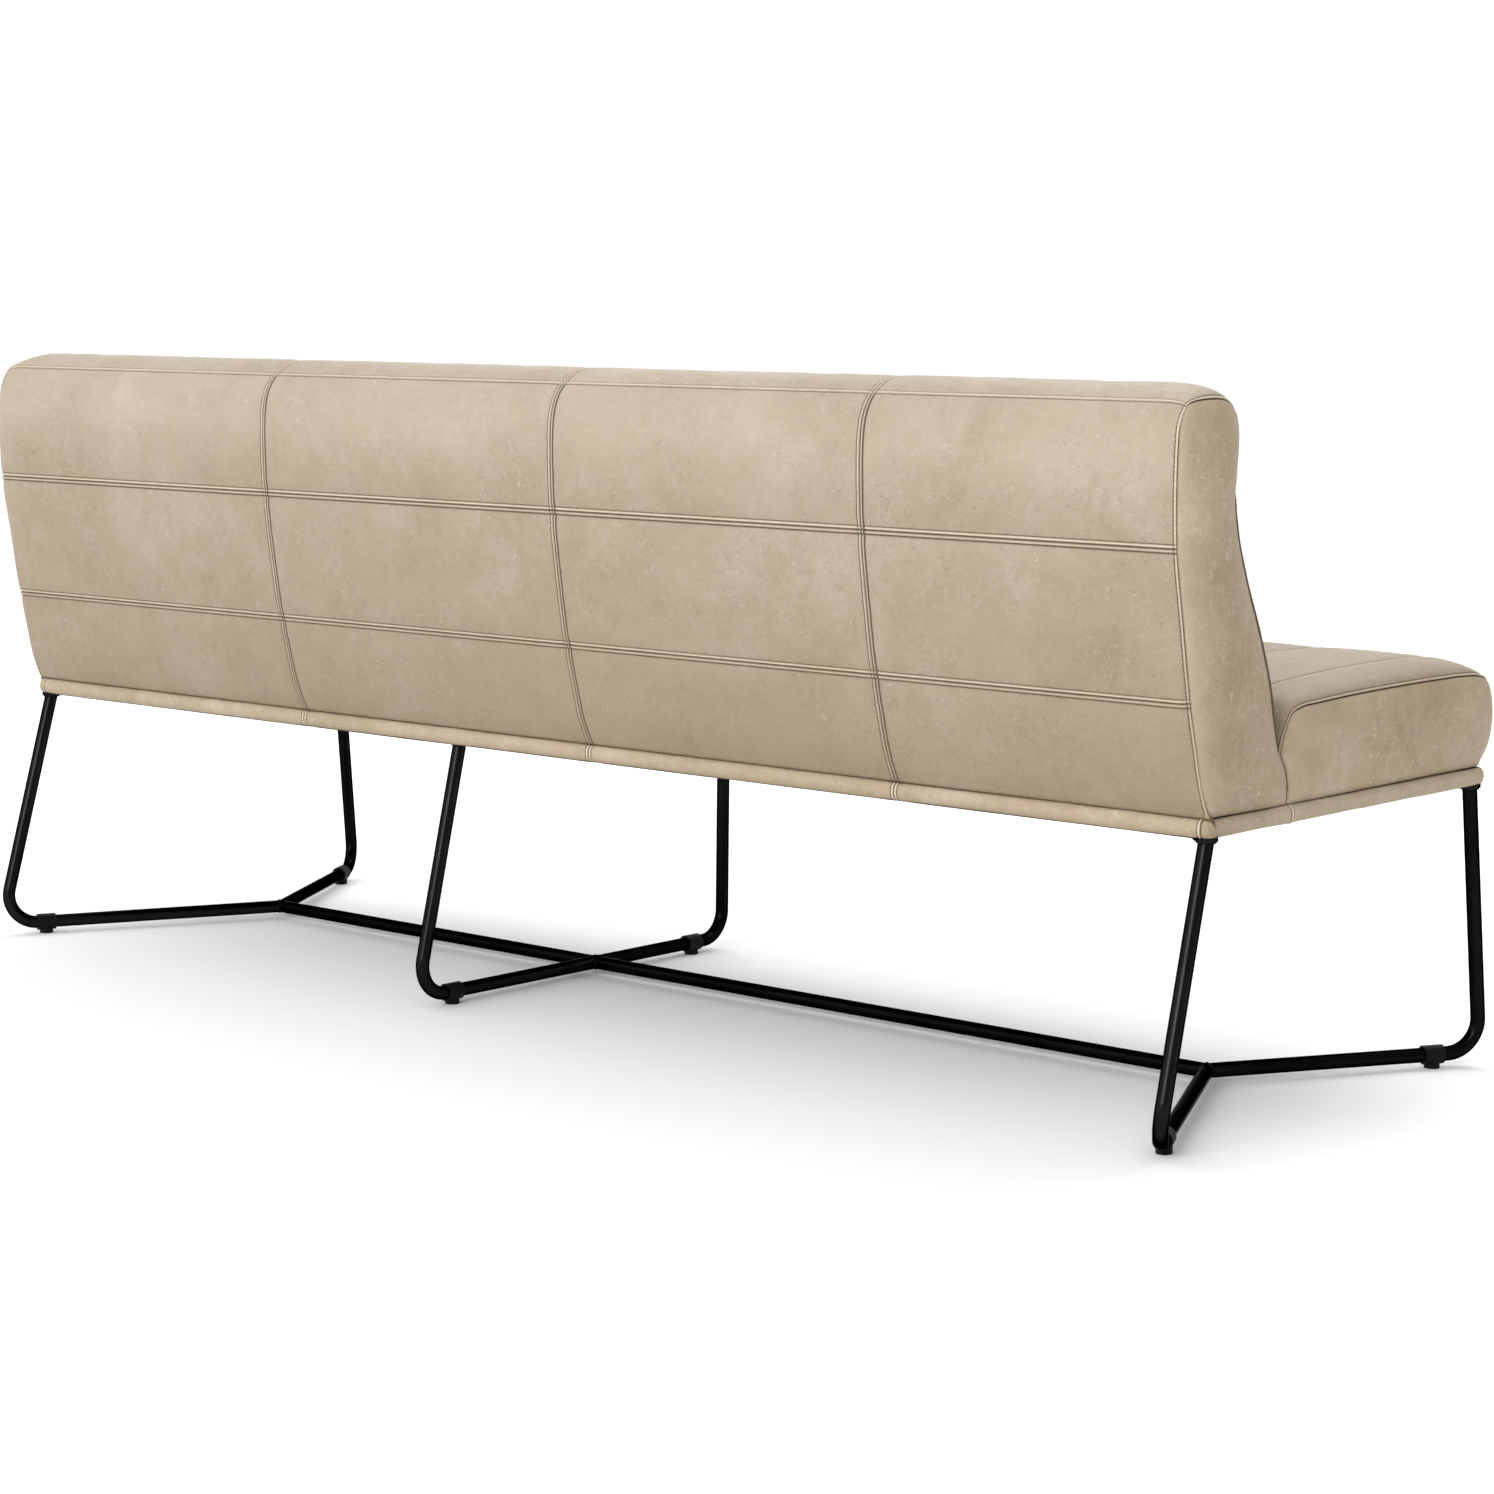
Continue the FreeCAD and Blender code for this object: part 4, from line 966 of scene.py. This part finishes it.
def mathn(nt, op, a, b=None, c=None, clamp=False):
    n = nt.nodes.new("ShaderNodeMath")
    n.operation = op
    n.use_clamp = clamp
    for k, v in enumerate((a, b, c)):
        if v is not None:
            setv(nt, n.inputs[k], v)
    return n.outputs[0]


def span(nt, v, a, b, c=0.0, d=1.0, smooth=True):
    n = nt.nodes.new("ShaderNodeMapRange")
    n.interpolation_type = "SMOOTHSTEP" if smooth else "LINEAR"
    nt.links.new(v, n.inputs["Value"])
    for k, x in zip(("From Min", "From Max", "To Min", "To Max"), (a, b, c, d)):
        n.inputs[k].default_value = x
    return n.outputs["Result"]


def ramp(nt, fac, stops):
    n = nt.nodes.new("ShaderNodeValToRGB")
    el = n.color_ramp.elements
    while len(el) < len(stops):
        el.new(.5)
    for e, (p, c) in zip(el, stops):
        e.position = p
        e.color = (*c, 1)
    nt.links.new(fac, n.inputs["Fac"])
    return n.outputs["Color"]


def blendc(nt, fac, a, b, mode="MIX"):
    n = nt.nodes.new("ShaderNodeMix")
    n.data_type = "RGBA"
    n.blend_type = mode
    setv(nt, n.inputs[0], fac)
    for k, v in ((6, a), (7, b)):
        setv(nt, n.inputs[k], v if isinstance(v, bpy.types.NodeSocket) else (*v, 1))
    return n.outputs[2]


def bump(nt, height, strength, distance, before=None):
    n = nt.nodes.new("ShaderNodeBump")
    n.inputs["Strength"].default_value = strength
    n.inputs["Distance"].default_value = distance
    nt.links.new(height, n.inputs["Height"])
    if before is not None:
        nt.links.new(before, n.inputs["Normal"])
    return n.outputs["Normal"]


def attribute(nt, name):
    n = nt.nodes.new("ShaderNodeAttribute")
    n.attribute_name = name
    return n.outputs["Fac"]


def hide_material(name, tone=(1, 1, 1), low_shade=.40, crinkle=.24, spread=1.0, fresh=.36, low_shade_span=(.30, .80), lift=0.0, broad=1.0):
    def t(*c):
        return tuple(x * k for x, k in zip(c, tone))

    m, nt, b, co = start(name)
    # clouds of the dye, with a fine fleck in them
    cloud = noise(nt, co, 5.2, 4, .55, .9)
    patch_ = noise(nt, co, 17.0, 4, .6, .7)
    fleck = noise(nt, co, 120.0, 3, .65, .3)
    f = mathn(nt, "MULTIPLY_ADD", cloud, .48 * spread, .5 - .5 * spread)
    f = mathn(nt, "MULTIPLY_ADD", patch_, .37 * spread, f)
    f = mathn(nt, "MULTIPLY_ADD", fleck, .15 * spread, f)
    colour = ramp(nt, f, [(.36, t(.270, .208, .130)), (.45, t(.330, .258, .170)), (.53, t(.362, .287, .198)), (.65, t(.432, .355, .266))])
    # olive and rosy drift
    warm = span(nt, noise(nt, co, 7.5, 3, .5, .5), .40, .62)
    colour = blendc(nt, mathn(nt, "MULTIPLY", warm, .42 * min(spread, 1.0)), colour, t(.378, .296, .218))
    olive = span(nt, noise(nt, co, 11.0, 3, .5, .8), .52, .68)
    colour = blendc(nt, mathn(nt, "MULTIPLY", olive, .38 * min(spread, 1.0)), colour, t(.318, .256, .158))
    # combed streaks of the nap
    mp = nt.nodes.new("ShaderNodeMapping")
    nt.links.new(co, mp.inputs["Vector"])
    mp.inputs["Scale"].default_value = (70.0, 150.0, 190.0)
    mp.inputs["Rotation"].default_value = (.05, .0, .10)
    streak = noise(nt, mp.outputs["Vector"], 1.0, 3, .6, .4)
    colour = blendc(nt, span(nt, streak, .50, .74, 0, .16), colour, t(.455, .380, .290))
    colour = blendc(nt, span(nt, streak, .50, .26, 0, .16), colour, t(.262, .202, .130))
    # short pale strokes in the nap, and dark strokes painted as the shade in small creases
    group = span(nt, noise(nt, co, 9.0, 3, .55, .6), .36, .56)

    def strokes(kinds):
        got = None
        for sc, width, msc, lo, hi, dist in kinds:
            n = noise(nt, co, sc, 1.5, .5, dist)
            a = mathn(nt, "ABSOLUTE", mathn(nt, "SUBTRACT", n, .5))
            l = span(nt, a, 0.0, width, 1.0, 0.0)
            l = mathn(nt, "MULTIPLY", l, span(nt, noise(nt, co, msc, 2, .5, .3), lo, hi))
            got = l if got is None else mathn(nt, "MAXIMUM", got, l)
        return mathn(nt, "MULTIPLY", got, group)

    pale = strokes(((47.0, .015 * broad, 61.0, .50, .60, 1.6), (90.0, .022 * broad, 83.0, .50, .60, .9), (31.0, .009 * broad, 44.0, .50, .59, 2.4)))
    dark = strokes(((53.0, .014, 67.0, .51, .61, 1.8), (101.0, .020, 79.0, .52, .62, 1.1)))
    colour = blendc(nt, mathn(nt, "MULTIPLY", pale, fresh), colour, t(.565, .485, .380))
    # painted shade: the dark strokes stand for shade in small creases
    colour = blendc(nt, mathn(nt, "MULTIPLY", dark, .36), colour, t(.215, .160, .098))
    sep = nt.nodes.new("ShaderNodeSeparateXYZ")
    nt.links.new(co, sep.inputs[0])
    z = sep.outputs[2]
    if lift:
        # painted light: a painted highlight high on the upper rear row under the crown, and painted shade just above
        # its seam and just above the band
        up = mathn(nt, "MULTIPLY", span(nt, z, .698, .768, 0.0, lift), span(nt, z, .817, .828, 1.0, 0.0))
        colour = blendc(nt, up, colour, (.487, .421, .334))
        painted_seam_shade = mathn(nt, "MULTIPLY", span(nt, z, .668, .722, .12, 0.0), span(nt, z, .659, .665, 0.0, 1.0))
        colour = blendc(nt, painted_seam_shade, colour, (.178, .122, .055))
        colour = blendc(nt, span(nt, z, .366, .396, .14, 0.0), colour, (.178, .122, .055))
    # painted highlight: the rear edge of each end panel is lightened, standing for light on its rounded edge
    painted_edge_light_attr = attribute(nt, "painted_edge_light")
    colour = blendc(nt, mathn(nt, "MULTIPLY", painted_edge_light_attr, .42), colour, t(.535, .472, .385))
    # painted highlight: the raised lips beside the seams are lightened
    lip_highlight_attr = attribute(nt, "lip_highlight")
    colour = blendc(nt, mathn(nt, "MULTIPLY", lip_highlight_attr, .92), colour, (.690, .590, .452))
    # seam darkness: the thread and groove colour plus painted crevice shade
    seam_and_shade_attr = attribute(nt, "seam")
    colour = blendc(nt, mathn(nt, "MULTIPLY", seam_and_shade_attr, .95, clamp=True), colour, (.066, .042, .021))
    # painted shade: the hide is darkened towards the bottom, standing for the shade low on the cushions and the band
    low = span(nt, z, low_shade_span[0], low_shade_span[1], low_shade, 0.0)
    colour = blendc(nt, low, colour, (.178, .122, .055))
    nt.links.new(colour, b.inputs["Base Color"])
    rough = mathn(nt, "MULTIPLY_ADD", patch_, .16, .44)
    rough = mathn(nt, "MULTIPLY_ADD", pale, .10, rough)
    nt.links.new(rough, b.inputs["Roughness"])
    b.inputs["Specular IOR Level"].default_value = .28
    b.inputs["Sheen Weight"].default_value = .06
    b.inputs["Sheen Roughness"].default_value = .45
    grain = noise(nt, co, 1500.0, 3, .6)
    pores = nt.nodes.new("ShaderNodeTexVoronoi")
    nt.links.new(co, pores.inputs["Vector"])
    pores.inputs["Scale"].default_value = 620.0
    pore = span(nt, pores.outputs["Distance"], .0, .45)
    fine = mathn(nt, "MULTIPLY_ADD", pore, .5, grain)
    n1 = bump(nt, fine, .25, .0004)
    n2 = bump(nt, mathn(nt, "SUBTRACT", pale, dark), .45, .0010, n1)
    n3 = bump(nt, noise(nt, co, 60.0, 4, .6, .4), crinkle, .0024, n2)
    nt.links.new(n3, b.inputs["Normal"])
    return m


def thread_material(name, dark, light):
    m, nt, b, co = start(name)
    f = noise(nt, co, 700.0, 2)
    nt.links.new(ramp(nt, f, [(.35, dark), (.65, light)]), b.inputs["Base Color"])
    b.inputs["Roughness"].default_value = .62
    b.inputs["Specular IOR Level"].default_value = .3
    w = nt.nodes.new("ShaderNodeTexWave")
    nt.links.new(co, w.inputs["Vector"])
    w.inputs["Scale"].default_value = 900.0
    w.bands_direction = "DIAGONAL"
    nt.links.new(bump(nt, w.outputs["Fac"], .5, .0002), b.inputs["Normal"])
    return m


def steel_material(name, low, high):
    m, nt, b, co = start(name)
    f = noise(nt, co, 14.0, 3)
    nt.links.new(ramp(nt, f, [(.35, (low, low, low * 1.03)), (.65, (high, high, high * 1.02))]), b.inputs["Base Color"])
    b.inputs["Metallic"].default_value = 1.0
    b.inputs["Specular Tint"].default_value = (.16, .16, .16, 1)
    nt.links.new(mathn(nt, "MULTIPLY_ADD", noise(nt, co, 60.0, 3), .08, .17), b.inputs["Roughness"])
    peel = noise(nt, co, 1100.0, 2, .5)
    nt.links.new(bump(nt, peel, .10, .0002), b.inputs["Normal"])
    return m


def plastic_material():
    m, nt, b, co = start("glide_plastic")
    f = noise(nt, co, 90.0, 3)
    nt.links.new(ramp(nt, f, [(.35, (.0025, .0025, .0025)), (.65, (.0050, .0050, .0050))]), b.inputs["Base Color"])
    nt.links.new(mathn(nt, "MULTIPLY_ADD", f, .15, .48), b.inputs["Roughness"])
    b.inputs["Specular IOR Level"].default_value = .10
    nt.links.new(bump(nt, noise(nt, co, 1400.0, 2), .2, .0002), b.inputs["Normal"])
    return m


def zinc_material():
    m, nt, b, co = start("zinc_plate")
    f = noise(nt, co, 220.0, 4, .6)
    nt.links.new(ramp(nt, f, [(.3, (.42, .43, .44)), (.7, (.62, .62, .60))]), b.inputs["Base Color"])
    b.inputs["Metallic"].default_value = 1.0
    nt.links.new(mathn(nt, "MULTIPLY_ADD", f, .25, .28), b.inputs["Roughness"])
    return m


def wood_material(name, dark, light, ring_scale, stretch, plies=0.0):
    m, nt, b, co = start(name)
    mp = nt.nodes.new("ShaderNodeMapping")
    nt.links.new(co, mp.inputs["Vector"])
    mp.inputs["Scale"].default_value = stretch
    g = noise(nt, mp.outputs["Vector"], ring_scale, 5, .6, 1.2)
    c = ramp(nt, g, [(.3, dark), (.7, light)])
    if plies:
        sep = nt.nodes.new("ShaderNodeSeparateXYZ")
        nt.links.new(co, sep.inputs[0])
        w = mathn(nt, "SINE", mathn(nt, "MULTIPLY", sep.outputs[2], plies))
        c = blendc(nt, span(nt, w, -.2, .2, 0, .25), c, dark)
    nt.links.new(c, b.inputs["Base Color"])
    nt.links.new(mathn(nt, "MULTIPLY_ADD", g, .2, .55), b.inputs["Roughness"])
    nt.links.new(bump(nt, g, .2, .0006), b.inputs["Normal"])
    return m


def cloth_material(name, dark, light, scale):
    m, nt, b, co = start(name)
    waves = []
    for way in ("X", "Y"):
        w = nt.nodes.new("ShaderNodeTexWave")
        nt.links.new(co, w.inputs["Vector"])
        w.bands_direction = way
        w.inputs["Scale"].default_value = scale
        w.inputs["Distortion"].default_value = .6
        waves.append(w.outputs["Fac"])
    weave = mathn(nt, "MULTIPLY", waves[0], waves[1])
    f = mathn(nt, "MULTIPLY_ADD", noise(nt, co, 160.0, 4), .5, mathn(nt, "MULTIPLY", weave, .5))
    nt.links.new(ramp(nt, f, [(.2, dark), (.6, light)]), b.inputs["Base Color"])
    b.inputs["Roughness"].default_value = .9
    b.inputs["Specular IOR Level"].default_value = .2
    nt.links.new(bump(nt, weave, .4, .0005), b.inputs["Normal"])
    return m


def foam_material():
    m, nt, b, co = start("foam")
    v = nt.nodes.new("ShaderNodeTexVoronoi")
    nt.links.new(co, v.inputs["Vector"])
    v.inputs["Scale"].default_value = 700.0
    f = v.outputs["Distance"]
    nt.links.new(ramp(nt, f, [(.1, (.62, .56, .40)), (.6, (.78, .74, .60))]), b.inputs["Base Color"])
    b.inputs["Roughness"].default_value = .95
    nt.links.new(bump(nt, f, .4, .0006), b.inputs["Normal"])
    return m


# main hide: a painted highlight and painted shade on the upper rear row, and painted shade low down
HIDE = hide_material("sand_hide", (.950, .962, 1.018), spread=.74, fresh=.46, lift=.27, broad=1.2)
# end panels: a copy toned warmer to stand for the shade on the ends, with a painted highlight on their rear edges
HIDE_ENDS_SHADED = hide_material("sand_hide_ends_shaded", (1.015, .992, .935), .12, .42, 1.25, .66, broad=1.6)
# band: a copy toned lighter, with painted shade darkening its lower half
HIDE_BAND = hide_material("sand_hide_band", (1.075, 1.09, 1.105), .40, .24, 1.0, .46, (.339, .361))
STEEL = steel_material("black_powder_coat", .0105, .0150)
# a darker copy of the coat: painted shade for the legs and floor tubes that stand under the bench
STEEL_SHADED = steel_material("shaded_powder_coat", .0042, .0068)
PLASTIC, ZINC = plastic_material(), zinc_material()
THREAD = thread_material("stitch_thread", (.080, .053, .029), (.155, .112, .068))
PALE = thread_material("pale_thread", (.235, .178, .115), (.330, .262, .180))
PLY = wood_material("plywood", (.42, .28, .15), (.62, .46, .29), 6.0, (1, 6, 6), 1800.0)
PINE = wood_material("softwood", (.50, .33, .17), (.68, .52, .33), 7.0, (.6, 9, 9))
BOARD = wood_material("hardboard", (.16, .09, .045), (.24, .15, .08), 120.0, (1, 1, 1))
LINING = cloth_material("lining_cloth", (.010, .010, .011), (.032, .032, .034), 380.0)
WEBBING = cloth_material("webbing", (.05, .05, .052), (.16, .15, .14), 260.0)
FOAM = foam_material()


def finish_of(name):
    if name.startswith(("rear_leg", "leg_top")):
        return STEEL
    # front legs and floor tubes get the darker copy as painted shade
    if name.startswith(("front_leg", "floor_stretcher")):
        return STEEL_SHADED
    if name == "floor_glides":
        return PLASTIC
    if name in ("plate_bolts", "tee_nuts"):
        return ZINC
    if name == "base_board" or name.startswith("back_post"):
        return PLY
    if name == "underside_lining":
        return LINING
    if name.endswith("webbing"):
        return WEBBING
    if name == "back_rear_panel":
        return BOARD
    if name.endswith("foam"):
        return FOAM
    if "rail" in name:
        return PINE
    return HIDE


for name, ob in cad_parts.items():
    ob.data.materials.clear()
    ob.data.materials.append(finish_of(name))

# ------------------------------------------------------------------ who stands for what
def place(ob, mat, nodes=()):
    ob.data.materials.append(mat)
    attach(ob, "root")
    if nodes:
        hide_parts(*nodes)


place(rear_cover, HIDE, ("back_rear_cover", "back_rear_foam"))
place(front_cover, HIDE, ("back_front_cover", "back_front_foam"))
place(seat_cover, HIDE, ("seat_cover", "seat_foam", "seat_border_foam"))
for node_name, ob in panels:
    place(ob, HIDE_ENDS_SHADED, (node_name,))
place(band, HIDE_BAND, ("base_band",))
for thread_, label in ((rear_thread, "back_rear_stitching"), (front_thread, "back_front_stitching"), (seat_thread, "seat_stitching"), (band_thread, "band_stitching")):
    place(thread_.done(label), THREAD)
place(pale_thread.done("crown_stitching"), PALE)
place(weld, STEEL)

# ------------------------------------------------------------------ floor and light
me = bpy.data.meshes.new("floor")
me.from_pydata([(-40, -40, 0), (40, -40, 0), (40, 40, 0), (-40, 40, 0)], [], [(0, 1, 2, 3)])
floor = bpy.data.objects.new("floor", me)
scene.collection.objects.link(floor)
fm, nt, b, co = start("floor_paint")
nt.links.new(ramp(nt, noise(nt, co, 1.5, 2), [(.3, (.955, .955, .955)), (.7, (.965, .965, .965))]), b.inputs["Base Color"])
b.inputs["Roughness"].default_value = .9
b.inputs["Specular IOR Level"].default_value = .1
me.materials.append(fm)

world = bpy.data.worlds.new("studio")
scene.world = world
world.use_nodes = True
bg = world.node_tree.nodes.get("Background") or world.node_tree.nodes.new("ShaderNodeBackground")
bg.inputs["Color"].default_value = (1, 1, 1, 1)
wt = world.node_tree
way = wt.nodes.new("ShaderNodeVectorMath")
way.operation = "DOT_PRODUCT"
way.inputs[1].default_value = (math.cos(math.radians(20)), math.sin(math.radians(20)), 0)
wt.links.new(wt.nodes.new("ShaderNodeTexCoord").outputs["Generated"], way.inputs[0])
wt.links.new(span(wt, way.outputs["Value"], -.30, .10, .64, 1.38), bg.inputs["Strength"])


def softbox(name, at, to, size, power, colour=(1, 1, 1)):
    ld = bpy.data.lights.new(name, "AREA")
    ld.shape = "RECTANGLE"
    ld.size, ld.size_y = size
    ld.energy = power
    ld.color = colour
    lo = bpy.data.objects.new(name, ld)
    scene.collection.objects.link(lo)
    lo.location = at
    lo.rotation_euler = (Vector(to) - Vector(at)).to_track_quat("-Z", "Y").to_euler()
    lo.visible_camera = False
    return lo


softbox("key", (-2.6, 11.5, 5.0), (0, .2, .6), (7.0, 5.0), 660.0)
softbox("overhead", (.4, -2.6, 4.4), (0, -1.2, 0), (5.0, 2.6), 120.0)
scene.view_settings.view_transform = "Standard"
scene.view_settings.look = "None"
scene.view_settings.exposure = 0.0
scene.view_settings.gamma = 1.0

bpy.context.view_layer.update()
